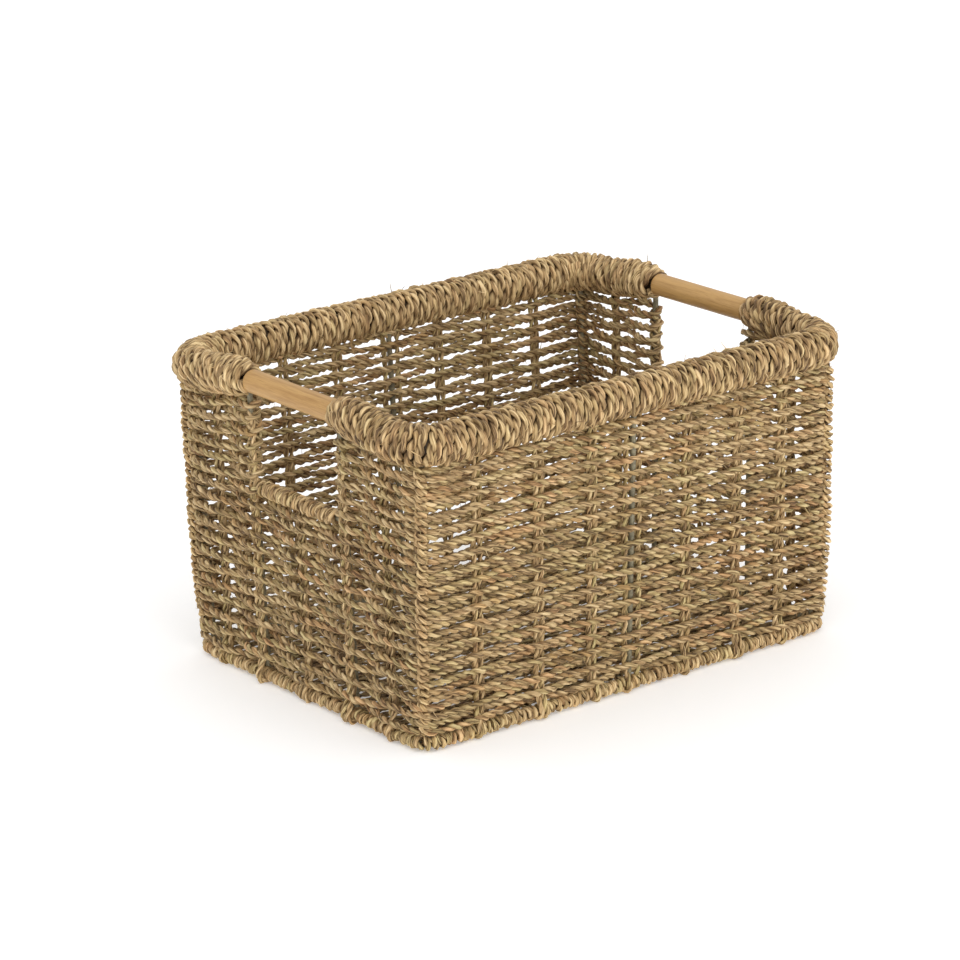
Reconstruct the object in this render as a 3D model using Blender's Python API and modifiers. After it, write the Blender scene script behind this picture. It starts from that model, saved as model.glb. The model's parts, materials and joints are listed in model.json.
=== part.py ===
"""Seagrass storage basket on a steel wire frame, with a wooden grip at each end.

Metres, +Z up, floor at z = 0. The long walls run along X and the gripped ends face -X and +X.
Each grip is bored and threaded on the rim wire, so it turns about a line along Y.
"""

import math

import bmesh
import bpy
from mathutils import Matrix, Vector

# Middle line of the walls, at the bottom edge and at the rim
BASE_HALF_X = 0.1941
BASE_HALF_Y = 0.1417
BASE_CORNER = 0.012
BASE_Z = 0.006
RIM_HALF_X = 0.200
RIM_HALF_Y = 0.154
RIM_CORNER = 0.028
RIM_Z = 0.2362

# Steel wire frame
RIM_WIRE_Z = 0.242
RIM_WIRE_RADIUS = 0.0025
BASE_WIRE_RADIUS = 0.0025
POST_RADIUS = 0.00225
BAR_RADIUS = 0.00225
CROSS_WIRE_RADIUS = 0.002
CROSS_WIRE_Z = 0.0047

# Wrapped rim
WRAP_RADIUS = 0.0162
CORE_RADIUS = 0.0110
RIM_RISE = 0.0050  # how much higher the rim stands beside a grip
RIM_RISE_RUN = 0.050
BORE_TILT = 0.13  # keeps the bore's edges off the edges of what it is cut from

# Wooden grips
GRIP_RADIUS = 0.0091
GRIP_BORE = 0.0029
GRIP_HALF = 0.0545
GRIP_EDGE = 0.0012
RIM_END_Y = 0.0552  # the rim's wraps end here, beside the grip

# Hand holes
HANDLE_POST_Y = 0.0580
HOLE_HALF = 0.0520
HOLE_BAR_Z = 0.1580
HOLE_WRAP_RADIUS = 0.0070

# Woven walls, base and stakes
WALL = 0.011
WEFT_LOW_Z = 0.0123
WEFT_SPLIT_Z = 0.1506
WEFT_TOP_Z = 0.2190
EDGE_RADIUS = 0.006
BASE_THICK = 0.009
BASE_INSET = 0.0063
STAKE_WIDE = 0.0086
STAKE_THICK = 0.0042
STAKE_LOW_Z = 0.0092
STAKE_HIGH_Z = 0.2300
LONG_STAKES_FRONT = (-0.151, -0.092, -0.040, 0.055, 0.107, 0.153)
LONG_STAKES_BACK = (-0.158, -0.107, -0.054, 0.049, 0.099, 0.150)
SHORT_STAKE_Y = 0.101
BESIDE_POST = 0.0068

GAP = 0.0003
ARC_STEPS = 6
SLOPE_STEPS = 5
POST_LOW_Z = BASE_Z + BASE_WIRE_RADIUS + GAP
POST_HIGH_Z = RIM_WIRE_Z - RIM_WIRE_RADIUS - GAP

COLORS = {
    "frame_steel": ((0.34, 0.36, 0.33), 0.45, 0.9),
    "grip_wood": ((0.61, 0.36, 0.14), 0.5, 0.0),
    "rim_seagrass": ((0.40, 0.28, 0.13), 0.8, 0.0),
    "core_seagrass": ((0.30, 0.22, 0.11), 0.85, 0.0),
    "weft_seagrass": ((0.33, 0.23, 0.11), 0.8, 0.0),
    "stake_seagrass": ((0.31, 0.24, 0.12), 0.8, 0.0),
    "edge_seagrass": ((0.36, 0.26, 0.13), 0.8, 0.0),
    "base_seagrass": ((0.30, 0.21, 0.10), 0.85, 0.0),
}


def clear_scene():
    """Remove every object, so that the model starts in an empty scene."""
    for obj in list(bpy.data.objects):
        bpy.data.objects.remove(obj, do_unlink=True)


def new_collection(name, hidden=False):
    """A collection under the scene; a hidden one holds cutters."""
    collection = bpy.data.collections.new(name)
    collection.hide_render = hidden
    bpy.context.scene.collection.children.link(collection)
    return collection


def make_material(name):
    """A Principled material with the colour, roughness and metallic value of one finish."""
    color, roughness, metallic = COLORS[name]
    material = bpy.data.materials.new(name)
    material.use_nodes = True
    shader = material.node_tree.nodes["Principled BSDF"]
    shader.inputs["Base Color"].default_value = (*color, 1.0)
    shader.inputs["Roughness"].default_value = roughness
    shader.inputs["Metallic"].default_value = metallic
    material.diffuse_color = (*color, 1.0)
    return material


def place(obj, collection, finish=None):
    """Link an object, and give it its finish; without one it is a cutter."""
    collection.objects.link(obj)
    if finish is None:
        obj.hide_render = True
        obj.display_type = "WIRE"
    else:
        obj.data.materials.append(bpy.data.materials[finish])
    return obj


def outline_at(z):
    """Half lengths and corner radius of the walls' middle line at a height."""
    t = (z - BASE_Z) / (RIM_Z - BASE_Z)
    half_x = BASE_HALF_X + t * (RIM_HALF_X - BASE_HALF_X)
    half_y = BASE_HALF_Y + t * (RIM_HALF_Y - BASE_HALF_Y)
    corner = BASE_CORNER + t * (RIM_CORNER - BASE_CORNER)
    return half_x, half_y, corner


def corner_arc(half_x, half_y, corner, quarter):
    """Points round one corner, anticlockwise; quarter 0 is front right, then back right and on."""
    sign_x, sign_y = ((1, -1), (1, 1), (-1, 1), (-1, -1))[quarter]
    centre = Vector((sign_x * (half_x - corner), sign_y * (half_y - corner)))
    start = math.radians(90 * quarter - 90)
    points = []
    for step in range(ARC_STEPS + 1):
        angle = start + math.pi / 2 * step / ARC_STEPS
        points.append(centre + corner * Vector((math.cos(angle), math.sin(angle))))
    return points


def ring_path(half_x, half_y, corner, z):
    """A closed rounded rectangle at a height."""
    flat = [p for quarter in range(4) for p in corner_arc(half_x, half_y, corner, quarter)]
    return [Vector((p.x, p.y, z)) for p in flat]


def rim_rise(y):
    """How much higher the rim stands at a place along a short wall."""
    part = (RIM_HALF_Y - RIM_CORNER - abs(y)) / RIM_RISE_RUN
    part = min(max(part, 0.0), 1.0)
    return RIM_RISE * part * part * (3 - 2 * part)


def front_path(half_x, half_y, corner, z, end_y, rising=False):
    """From the left end's hand hole, round the front wall, to the right end's hand hole."""
    first_y = corner - half_y
    slope = [first_y + (-end_y - first_y) * step / SLOPE_STEPS for step in range(1, SLOPE_STEPS + 1)]
    left = [Vector((-half_x, y)) for y in reversed(slope)]
    right = [Vector((half_x, y)) for y in slope]
    arcs = [*corner_arc(half_x, half_y, corner, 3), *corner_arc(half_x, half_y, corner, 0)]
    flat = [*left, *arcs, *right]
    return [Vector((p.x, p.y, z + (rim_rise(p.y) if rising else 0.0))) for p in flat]


def mirrored(points):
    """The same path on the back half of the basket."""
    return [Vector((p.x, -p.y, p.z)) for p in points]


def rim_roll_path(end_y):
    """Middle line of the front half of the wrapped rim, which stands higher beside the grips."""
    return front_path(RIM_HALF_X, RIM_HALF_Y, RIM_CORNER, RIM_Z, end_y, rising=True)


def tube_curve(name, points, radius, cyclic=False, resolution=2, tilt=0.0):
    """A round wire or roll as a curve with filled caps; tilt turns its section about its line."""
    data = bpy.data.curves.new(name, "CURVE")
    data.dimensions = "3D"
    data.bevel_depth = radius
    data.bevel_resolution = resolution
    data.use_fill_caps = not cyclic
    spline = data.splines.new("POLY")
    spline.points.add(len(points) - 1)
    for point, co in zip(spline.points, points):
        point.co = (*co, 1.0)
        point.tilt = tilt
    spline.use_cyclic_u = cyclic
    return bpy.data.objects.new(name, data)


def as_mesh(curve_obj):
    """A closed mesh object in place of a curve object, so that it can be cut."""
    bpy.context.scene.collection.objects.link(curve_obj)
    graph = bpy.context.evaluated_depsgraph_get()
    mesh = bpy.data.meshes.new_from_object(curve_obj.evaluated_get(graph))
    name = curve_obj.name
    matrix = curve_obj.matrix_world.copy()
    bpy.data.objects.remove(curve_obj, do_unlink=True)
    welded = bmesh.new()
    welded.from_mesh(mesh)
    bmesh.ops.remove_doubles(welded, verts=welded.verts, dist=1e-6)
    bmesh.ops.recalc_face_normals(welded, faces=welded.faces)
    welded.to_mesh(mesh)
    welded.free()
    mesh.name = name
    obj = bpy.data.objects.new(name, mesh)
    obj.matrix_world = matrix
    return obj


def aimed(start, end, across):
    """A matrix whose Z runs from start to end, with X as near to across as that allows."""
    z_axis = (end - start).normalized()
    y_axis = z_axis.cross(across).normalized()
    x_axis = y_axis.cross(z_axis)
    turn = Matrix((x_axis, y_axis, z_axis)).transposed().to_4x4()
    return Matrix.Translation((start + end) / 2) @ turn


def rod(name, start, end, radius, across):
    """A straight round wire."""
    mesh = bpy.data.meshes.new(name)
    shape = bmesh.new()
    bmesh.ops.create_cone(
        shape, cap_ends=True, segments=12, radius1=radius, radius2=radius, depth=(end - start).length
    )
    bmesh.ops.transform(shape, matrix=aimed(start, end, across), verts=shape.verts)
    shape.to_mesh(mesh)
    shape.free()
    return bpy.data.objects.new(name, mesh)


def round_edged_bar(name, start, end, width, thick, across):
    """A straight bar with rounded long edges: a pair of cords side by side, or one cord."""
    mesh = bpy.data.meshes.new(name)
    shape = bmesh.new()
    size = Matrix.Diagonal((width, thick, (end - start).length, 1.0))
    bmesh.ops.create_cube(shape, size=1.0, matrix=size)
    long_edges = [e for e in shape.edges if abs(e.verts[0].co.z - e.verts[1].co.z) > thick]
    bmesh.ops.bevel(
        shape, geom=long_edges, offset=thick * 0.45, segments=3, profile=0.5, affect="EDGES"
    )
    bmesh.ops.transform(shape, matrix=aimed(start, end, across), verts=shape.verts)
    shape.to_mesh(mesh)
    shape.free()
    return bpy.data.objects.new(name, mesh)


def carve(obj, cutters):
    """Cut each cutter out of a piece."""
    for cutter in cutters:
        modifier = obj.modifiers.new("cut_" + cutter.name, "BOOLEAN")
        modifier.operation = "DIFFERENCE"
        modifier.solver = "EXACT"
        modifier.object = cutter


class Upright:
    """One post or stake of a wall, with the channel that it needs in what it passes through."""

    def __init__(self, name, low, high, across, kind):
        self.name = name
        self.low = low
        self.high = high
        self.across = across
        self.kind = kind

    def body(self, name, grow, stretch):
        """The upright's solid, grown sideways and stretched at both ends."""
        along = (self.high - self.low).normalized() * stretch
        ends = self.low - along, self.high + along
        if self.kind == "post":
            return rod(name, *ends, POST_RADIUS + grow, self.across)
        width = STAKE_WIDE if self.kind == "pair" else STAKE_THICK
        return round_edged_bar(name, *ends, width + 2 * grow, STAKE_THICK + 2 * grow, self.across)

    def build(self, parts, cutters):
        """Add the piece and its cutter."""
        finish = "frame_steel" if self.kind == "post" else "stake_seagrass"
        place(self.body(self.name, 0.0, 0.0), parts, finish)
        return place(self.body("channel_" + self.name, GAP, GAP), cutters)


def long_wall_point(side, along, z):
    """A point in the middle of the front (side -1) or back (side 1) wall."""
    half_x, half_y, _ = outline_at(z)
    return Vector((along * half_x / RIM_HALF_X, side * half_y, z))


def short_wall_point(side, along, z):
    """A point in the middle of the left (side -1) or right (side 1) wall."""
    half_x, half_y, _ = outline_at(z)
    return Vector((side * half_x, along, z))


def corner_point(quarter, z):
    """The middle of one corner at a height."""
    middle = corner_arc(*outline_at(z), quarter)[ARC_STEPS // 2]
    return Vector((middle.x, middle.y, z))


def long_wall_uprights(side, word, places):
    """The middle post, the cord on each side of it and the paired stakes of a long wall."""
    along_x = Vector((1, 0, 0))
    post_ends = [long_wall_point(side, 0.0, z) for z in (POST_LOW_Z, POST_HIGH_Z)]
    uprights = [Upright("middle_post_" + word, *post_ends, along_x, "post")]
    for hand, offset in (("left", -BESIDE_POST), ("right", BESIDE_POST)):
        ends = [long_wall_point(side, offset, z) for z in (STAKE_LOW_Z, STAKE_HIGH_Z)]
        uprights.append(Upright(f"stake_{word}_middle_{hand}", *ends, along_x, "cord"))
    for number, x in enumerate(places, 1):
        ends = [long_wall_point(side, x, z) for z in (STAKE_LOW_Z, STAKE_HIGH_Z)]
        uprights.append(Upright(f"stake_{word}_{number}", *ends, along_x, "pair"))
    return uprights


def short_wall_uprights(side, word, half, half_word):
    """The handle post, the cord beside it and the paired stake in one half of a short wall."""
    along_y = Vector((0, 1, 0))
    post_ends = [short_wall_point(side, half * HANDLE_POST_Y, z) for z in (POST_LOW_Z, POST_HIGH_Z)]
    uprights = [Upright(f"handle_post_{word}_{half_word}", *post_ends, along_y, "post")]
    for name, y, kind in (
        (f"stake_{word}_{half_word}_post", HANDLE_POST_Y + BESIDE_POST, "cord"),
        (f"stake_{word}_{half_word}", SHORT_STAKE_Y, "pair"),
    ):
        ends = [short_wall_point(side, half * y, z) for z in (STAKE_LOW_Z, STAKE_HIGH_Z)]
        uprights.append(Upright(name, *ends, along_y, kind))
    return uprights


def hole_stake(side, word):
    """The paired stake under a hand hole, which ends at the wrapped bar."""
    ends = [short_wall_point(side, 0.0, z) for z in (STAKE_LOW_Z, WEFT_SPLIT_Z - GAP)]
    return Upright(f"stake_{word}_middle", *ends, Vector((0, 1, 0)), "pair")


def corner_upright(quarter):
    """A corner post."""
    word = ("front_right", "back_right", "back_left", "front_left")[quarter]
    ends = [corner_point(quarter, z) for z in (POST_LOW_Z, POST_HIGH_Z)]
    return Upright("corner_post_" + word, *ends, Vector((1, 0, 0)), "post")


def build_uprights(parts, cutters):
    """All posts and stakes; returns the channels of the front half, the back half and the holes."""
    front = [corner_upright(0), corner_upright(3)]
    back = [corner_upright(1), corner_upright(2)]
    front += long_wall_uprights(-1, "front", LONG_STAKES_FRONT)
    back += long_wall_uprights(1, "back", LONG_STAKES_BACK)
    holes = []
    for side, word in ((-1, "left"), (1, "right")):
        front += short_wall_uprights(side, word, -1, "front")
        back += short_wall_uprights(side, word, 1, "back")
        holes.append(hole_stake(side, word))
    return [[u.build(parts, cutters) for u in group] for group in (front, back, holes)]


def build_frame_wires(parts, cutters):
    """The two wire loops, the hole bars and the cross wire; returns the channels they need."""
    rim = ring_path(RIM_HALF_X, RIM_HALF_Y, RIM_CORNER, RIM_WIRE_Z)
    place(tube_curve("rim_wire", rim, RIM_WIRE_RADIUS, cyclic=True), parts, "frame_steel")
    rim_channel = as_mesh(tube_curve("channel_rim_wire", rim, RIM_WIRE_RADIUS + GAP, cyclic=True))
    base = ring_path(BASE_HALF_X, BASE_HALF_Y, BASE_CORNER, BASE_Z)
    place(tube_curve("base_wire", base, BASE_WIRE_RADIUS, cyclic=True), parts, "frame_steel")
    base_channel = as_mesh(tube_curve("channel_base_wire", base, BASE_WIRE_RADIUS + GAP, cyclic=True))
    bar_channels = []
    for side, word in ((-1, "left"), (1, "right")):
        half = HANDLE_POST_Y - POST_RADIUS - GAP
        ends = [short_wall_point(side, y, HOLE_BAR_Z) for y in (-half, half)]
        across = Vector((1, 0, 0))
        bar = rod("hand_hole_bar_" + word, *ends, BAR_RADIUS, across)
        place(bar, parts, "frame_steel")
        reach = Vector((0, GAP, 0))
        channel = rod("channel_bar_" + word, ends[0] - reach, ends[1] + reach, BAR_RADIUS + GAP, across)
        bar_channels.append(place(channel, cutters))
    cross_half = BASE_HALF_Y - BASE_WIRE_RADIUS - GAP
    ends = [Vector((0, y, CROSS_WIRE_Z)) for y in (-cross_half, cross_half)]
    cross = rod("base_cross_wire", *ends, CROSS_WIRE_RADIUS, Vector((1, 0, 0)))
    place(cross, parts, "frame_steel")
    cross_channel = rod("channel_cross_wire", *ends, CROSS_WIRE_RADIUS + GAP, Vector((1, 0, 0)))
    return (
        place(rim_channel, cutters),
        place(base_channel, cutters),
        bar_channels,
        place(cross_channel, cutters),
    )


def build_rim(parts, cutters, rim_channel, front, back):
    """The packing and the wraps of the rim, in a front and a back half that end at the grips."""
    for word, side, channels in (("front", 1, front), ("back", -1, back)):
        path = rim_roll_path(RIM_END_Y)
        longer = rim_roll_path(RIM_END_Y - WALL / 4)
        if side < 0:
            path = mirrored(path)
            longer = mirrored(longer)
        core = as_mesh(tube_curve("rim_core_" + word, path, CORE_RADIUS, resolution=3))
        place(core, parts, "core_seagrass")
        carve(core, [rim_channel, *channels])
        wrap = as_mesh(tube_curve("rim_wrap_" + word, path, WRAP_RADIUS, resolution=4))
        place(wrap, parts, "rim_seagrass")
        bore = as_mesh(
            tube_curve("bore_" + word, longer, CORE_RADIUS + 2 * GAP, resolution=3, tilt=BORE_TILT)
        )
        carve(wrap, [place(bore, cutters), *channels])


def weft_band(name, low, high, closed, parts):
    """A woven band of wall between a lower and an upper line."""
    mesh = bpy.data.meshes.new(name)
    shape = bmesh.new()
    loops = []
    for line in (low, high):
        verts = [shape.verts.new(point) for point in line]
        pairs = list(zip(verts, verts[1:]))
        if closed:
            pairs.append((verts[-1], verts[0]))
        loops += [shape.edges.new(pair) for pair in pairs]
    bmesh.ops.bridge_loops(shape, edges=loops)
    bmesh.ops.recalc_face_normals(shape, faces=shape.faces)
    shape.to_mesh(mesh)
    shape.free()
    band = place(bpy.data.objects.new(name, mesh), parts, "weft_seagrass")
    thickness = band.modifiers.new("thickness", "SOLIDIFY")
    thickness.thickness = WALL
    thickness.offset = 0.0
    thickness.use_even_offset = True
    return band


def build_wefts(parts, front, back, holes, bar_channels):
    """The rows below the hand holes, and the front and back rows that turn back beside them."""
    low, high = [ring_path(*outline_at(z), z) for z in (WEFT_LOW_Z, WEFT_SPLIT_Z - GAP)]
    lower = weft_band("weft_lower", low, high, True, parts)
    carve(lower, [*front, *back, *holes])
    low = front_path(*outline_at(WEFT_SPLIT_Z), WEFT_SPLIT_Z, HOLE_HALF)
    high = front_path(*outline_at(WEFT_TOP_Z), WEFT_TOP_Z, HOLE_HALF, rising=True)
    carve(weft_band("weft_upper_front", low, high, False, parts), [*front, *bar_channels])
    upper_back = weft_band("weft_upper_back", mirrored(low), mirrored(high), False, parts)
    carve(upper_back, [*back, *bar_channels])


def build_hole_wraps(parts, bar_channels):
    """The wrapped bottom bar of each hand hole."""
    half = HOLE_HALF - GAP
    for side, word, channel in ((-1, "left", bar_channels[0]), (1, "right", bar_channels[1])):
        points = [short_wall_point(side, y, HOLE_BAR_Z) for y in (-half, half)]
        wrap = as_mesh(tube_curve("hand_hole_wrap_" + word, points, HOLE_WRAP_RADIUS, resolution=4))
        place(wrap, parts, "edge_seagrass")
        carve(wrap, [channel])


def build_base(parts, base_channel, cross_channel, uprights):
    """The wrapped bottom edge and the woven base inside it."""
    ring = ring_path(BASE_HALF_X, BASE_HALF_Y, BASE_CORNER, BASE_Z)
    edge = as_mesh(tube_curve("base_edge_wrap", ring, EDGE_RADIUS, cyclic=True, resolution=3))
    place(edge, parts, "edge_seagrass")
    carve(edge, [base_channel, cross_channel, *uprights])
    data = bpy.data.curves.new("base_weave", "CURVE")
    data.dimensions = "2D"
    data.fill_mode = "BOTH"
    data.extrude = BASE_THICK / 2
    outline = ring_path(
        BASE_HALF_X - BASE_INSET, BASE_HALF_Y - BASE_INSET, BASE_CORNER - BASE_INSET, 0.0
    )
    spline = data.splines.new("POLY")
    spline.points.add(len(outline) - 1)
    for point, co in zip(spline.points, outline):
        point.co = (*co, 1.0)
    spline.use_cyclic_u = True
    mat = bpy.data.objects.new("base_weave", data)
    mat.location.z = BASE_THICK / 2
    bpy.context.view_layer.update()
    mat = place(as_mesh(mat), parts, "base_seagrass")
    carve(mat, [cross_channel])


def build_grip(side, word, parts):
    """A bored and turned grip, with its origin on its turning axis."""
    profile = (
        (GRIP_BORE, GRIP_HALF),
        (GRIP_RADIUS - GRIP_EDGE, GRIP_HALF),
        (GRIP_RADIUS, GRIP_HALF - GRIP_EDGE),
        (GRIP_RADIUS, -GRIP_HALF + GRIP_EDGE),
        (GRIP_RADIUS - GRIP_EDGE, -GRIP_HALF),
        (GRIP_BORE, -GRIP_HALF),
    )
    mesh = bpy.data.meshes.new("handle_roll_" + word)
    shape = bmesh.new()
    verts = [shape.verts.new((radius, along, 0.0)) for radius, along in profile]
    for first, second in zip(verts, verts[1:] + verts[:1]):
        shape.edges.new((first, second))
    shape.to_mesh(mesh)
    shape.free()
    grip = place(bpy.data.objects.new("handle_roll_" + word, mesh), parts, "grip_wood")
    grip.location = (side * RIM_HALF_X, 0.0, RIM_WIRE_Z)
    turn = grip.modifiers.new("turned", "SCREW")
    turn.axis = "Y"
    turn.steps = 24
    turn.render_steps = 24
    turn.use_merge_vertices = True
    turn.merge_threshold = 0.00001


def main():
    """Build the basket."""
    clear_scene()
    parts = new_collection("seagrass_basket")
    cutters = new_collection("cutters", hidden=True)
    for name in COLORS:
        make_material(name)
    rim_channel, base_channel, bar_channels, cross_channel = build_frame_wires(parts, cutters)
    front, back, holes = build_uprights(parts, cutters)
    build_rim(parts, cutters, rim_channel, front, back)
    build_wefts(parts, front, back, holes, bar_channels)
    build_hole_wraps(parts, bar_channels)
    build_base(parts, base_channel, cross_channel, [*front, *back, *holes])
    for side, word in ((-1, "left"), (1, "right")):
        build_grip(side, word, parts)


main()
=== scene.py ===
"""Looks of the seagrass storage basket: every cord wound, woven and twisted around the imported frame.

Metres, +Z up. The long walls run along X and the ends with the wooden grips face -X and +X.
Every cord is two plies laid round each other, and every colour comes from nodes.
"""

import json
import logging
import math
from dataclasses import dataclass, field
from enum import Enum
from typing import Iterable, Sequence

import bmesh
import bpy
from mathutils import Matrix, Vector, noise


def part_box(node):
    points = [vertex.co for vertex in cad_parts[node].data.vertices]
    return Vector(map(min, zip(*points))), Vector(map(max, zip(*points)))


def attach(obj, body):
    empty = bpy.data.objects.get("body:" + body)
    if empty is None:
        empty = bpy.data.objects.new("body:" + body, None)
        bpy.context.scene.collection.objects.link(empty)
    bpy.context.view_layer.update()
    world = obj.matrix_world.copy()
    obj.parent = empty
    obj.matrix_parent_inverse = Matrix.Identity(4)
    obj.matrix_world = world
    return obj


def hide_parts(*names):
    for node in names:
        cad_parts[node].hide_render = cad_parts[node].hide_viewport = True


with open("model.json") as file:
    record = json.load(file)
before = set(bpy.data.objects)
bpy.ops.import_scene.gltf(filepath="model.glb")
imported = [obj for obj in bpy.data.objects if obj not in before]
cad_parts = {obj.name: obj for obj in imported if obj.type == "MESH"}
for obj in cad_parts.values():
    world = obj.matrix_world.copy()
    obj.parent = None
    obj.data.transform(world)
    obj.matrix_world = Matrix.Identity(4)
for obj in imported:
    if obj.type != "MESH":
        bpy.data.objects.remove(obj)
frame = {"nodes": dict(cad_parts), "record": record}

logging.basicConfig(level=logging.INFO, format="%(levelname)s %(message)s")
log = logging.getLogger("basket")

Socket = bpy.types.NodeSocket
Sockets = bpy.types.bpy_prop_collection

BODY = "basket"
# How far apart the two noises of a stake's sway are read.
SWAY_APART = Vector((31.7, 0.0, 0.0))
# The blades of seagrass in a ply: how fast they change along it, round it, and from ply to ply.
BLADE_RATE = 62.0
BLADE_SCALE = 1.15
BLADE_APART = 37.0
# The finer fibres in each blade.
FIBRE_SCALE = 4.2
# The longer stretches of one tint: how fast they change along a ply, and from ply to ply.
STRETCH_RATE = 16.0
STRETCH_APART = 91.0
# How much nearer to the corners the paired stakes of the short walls stand than in the CAD.
STAKE_SHIFT = 0.006


class Half(Enum):
    """The two halves of the basket, split at the hand holes."""

    FRONT = -1
    BACK = 1

    @property
    def word(self) -> str:
        """The half's name in piece and node names."""
        return self.name.lower()


class End(Enum):
    """The two ends with a grip."""

    LEFT = -1
    RIGHT = 1

    @property
    def word(self) -> str:
        """The end's name in piece and node names."""
        return self.name.lower()


# ---------------------------------------------------------------------------------------------
# Node helpers
# ---------------------------------------------------------------------------------------------


class Nodes:
    """Adds nodes to one tree and wires them as they are made."""

    def __init__(self, tree: bpy.types.NodeTree) -> None:
        """Keep the tree that this helper fills."""
        self.tree = tree

    def wire(self, socket: Socket, value: object) -> None:
        """Link a socket, or set its value.

        Args:
            socket: the input to fill.
            value: an output socket, or a plain value.
        """
        if isinstance(value, Socket):
            self.tree.links.new(value, socket)
        else:
            socket.default_value = value

    def add(self, kind: str, inputs: dict | None = None, **settings: object) -> bpy.types.Node:
        """Add a node.

        Args:
            kind: the node's type name.
            inputs: values or sockets, by input name or number.
            **settings: the node's own properties, such as its operation.

        Returns:
            The new node.
        """
        node = self.tree.nodes.new(kind)
        for name, value in settings.items():
            setattr(node, name, value)
        for key, value in (inputs or {}).items():
            self.wire(node.inputs[key], value)
        return node

    def math(self, operation: str, first: object, second: object = 0.0) -> Socket:
        """A Math node's result."""
        return self.add("ShaderNodeMath", {0: first, 1: second}, operation=operation).outputs[0]

    def vector(self, operation: str, first: object, second: object) -> Socket:
        """A Vector Math node's vector result."""
        made = self.add("ShaderNodeVectorMath", {0: first, 1: second}, operation=operation)
        return made.outputs[0]

    def scaled(self, vector: object, factor: object) -> Socket:
        """A vector times a number."""
        made = self.add("ShaderNodeVectorMath", {0: vector, "Scale": factor}, operation="SCALE")
        return made.outputs[0]

    def combine(self, x: object, y: object, z: object) -> Socket:
        """A vector from three numbers."""
        return self.add("ShaderNodeCombineXYZ", {0: x, 1: y, 2: z}).outputs[0]

    def times(self, first: object, second: object) -> Socket:
        """One number times another."""
        return self.math("MULTIPLY", first, second)

    def plus(self, first: object, second: object) -> Socket:
        """One number plus another."""
        return self.math("ADD", first, second)

    def minus(self, first: object, second: object) -> Socket:
        """One number less another."""
        return self.math("SUBTRACT", first, second)

    def noise(self, place: object, scale: float, detail: float) -> Socket:
        """A noise texture's value."""
        inputs = {"Vector": place, "Scale": scale, "Detail": detail}
        return self.add("ShaderNodeTexNoise", inputs).outputs[0]

    def line_noise(self, place: object) -> Socket:
        """The value of a noise that runs along one number."""
        inputs = {"W": place, "Scale": 1.0, "Detail": 1.0}
        return self.add("ShaderNodeTexNoise", inputs, noise_dimensions="1D").outputs[0]

    def span(
        self, value: object, source: tuple[float, float], target: tuple[float, float]
    ) -> Socket:
        """A value moved from one span to another, and held inside it."""
        inputs = {0: value, 1: source[0], 2: source[1], 3: target[0], 4: target[1]}
        return self.add("ShaderNodeMapRange", inputs).outputs[0]

    def distance(self, first: object, second: object) -> Socket:
        """How far apart two points are."""
        made = self.add("ShaderNodeVectorMath", {0: first, 1: second}, operation="DISTANCE")
        return made.outputs["Value"]

    def shaded(self, name: str, output: str = "Fac") -> Socket:
        """A mesh attribute, read by a material."""
        return self.add("ShaderNodeAttribute", attribute_name=name).outputs[output]

    def read(self, name: str, kind: str = "FLOAT") -> Socket:
        """A named attribute, read by a geometry node tree."""
        return self.add("GeometryNodeInputNamedAttribute", {"Name": name}, data_type=kind).outputs[0]

    def position(self) -> Socket:
        """Where each point is."""
        return self.add("GeometryNodeInputPosition").outputs[0]

    def store(
        self, geometry: object, name: str, value: object, kind: str = "FLOAT", domain: str = "POINT"
    ) -> Socket:
        """Geometry with a named attribute stored on it.

        Args:
            geometry: the geometry to store on.
            name: the attribute's name.
            value: the field to store.
            kind: its data type.
            domain: what holds one value each.

        Returns:
            The geometry's socket.
        """
        inputs = {"Geometry": geometry, "Name": name, "Value": value}
        made = self.add("GeometryNodeStoreNamedAttribute", inputs, data_type=kind, domain=domain)
        return made.outputs[0]


def add_inputs(tree: bpy.types.NodeTree, sockets: Iterable[tuple[str, str, object]]) -> None:
    """Declare a tree's geometry input and output and its named inputs.

    Args:
        tree: the geometry node tree.
        sockets: (name, socket type, default value) of each further input.
    """
    tree.interface.new_socket("Geometry", in_out="INPUT", socket_type="NodeSocketGeometry")
    for name, kind, value in sockets:
        socket = tree.interface.new_socket(name, in_out="INPUT", socket_type=kind)
        if value is not None:
            socket.default_value = value
    tree.interface.new_socket("Geometry", in_out="OUTPUT", socket_type="NodeSocketGeometry")


# ---------------------------------------------------------------------------------------------
# Finishes
# ---------------------------------------------------------------------------------------------


def new_material(name: str) -> tuple[bpy.types.Material, Nodes, bpy.types.Node]:
    """An empty node material with its Principled shader.

    Args:
        name: the material's name.

    Returns:
        The material, its node helper and its shader.
    """
    material = bpy.data.materials.new(name)
    material.use_nodes = True
    shader = material.node_tree.nodes["Principled BSDF"]
    return material, Nodes(material.node_tree), shader


def ramp(nodes: Nodes, factor: object, stops: Sequence[tuple[float, tuple]]) -> Socket:
    """A Color Ramp's colour.

    Args:
        nodes: the helper of the tree.
        factor: the socket to look up.
        stops: (place, colour) pairs, from low to high.

    Returns:
        The colour's socket.
    """
    made = nodes.add("ShaderNodeValToRGB", {0: factor})
    elements = made.color_ramp.elements
    while len(elements) < len(stops):
        elements.new(0.5)
    for element, (place, color) in zip(elements, stops):
        element.position = place
        element.color = (*color, 1.0)
    return made.outputs[0]


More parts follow.
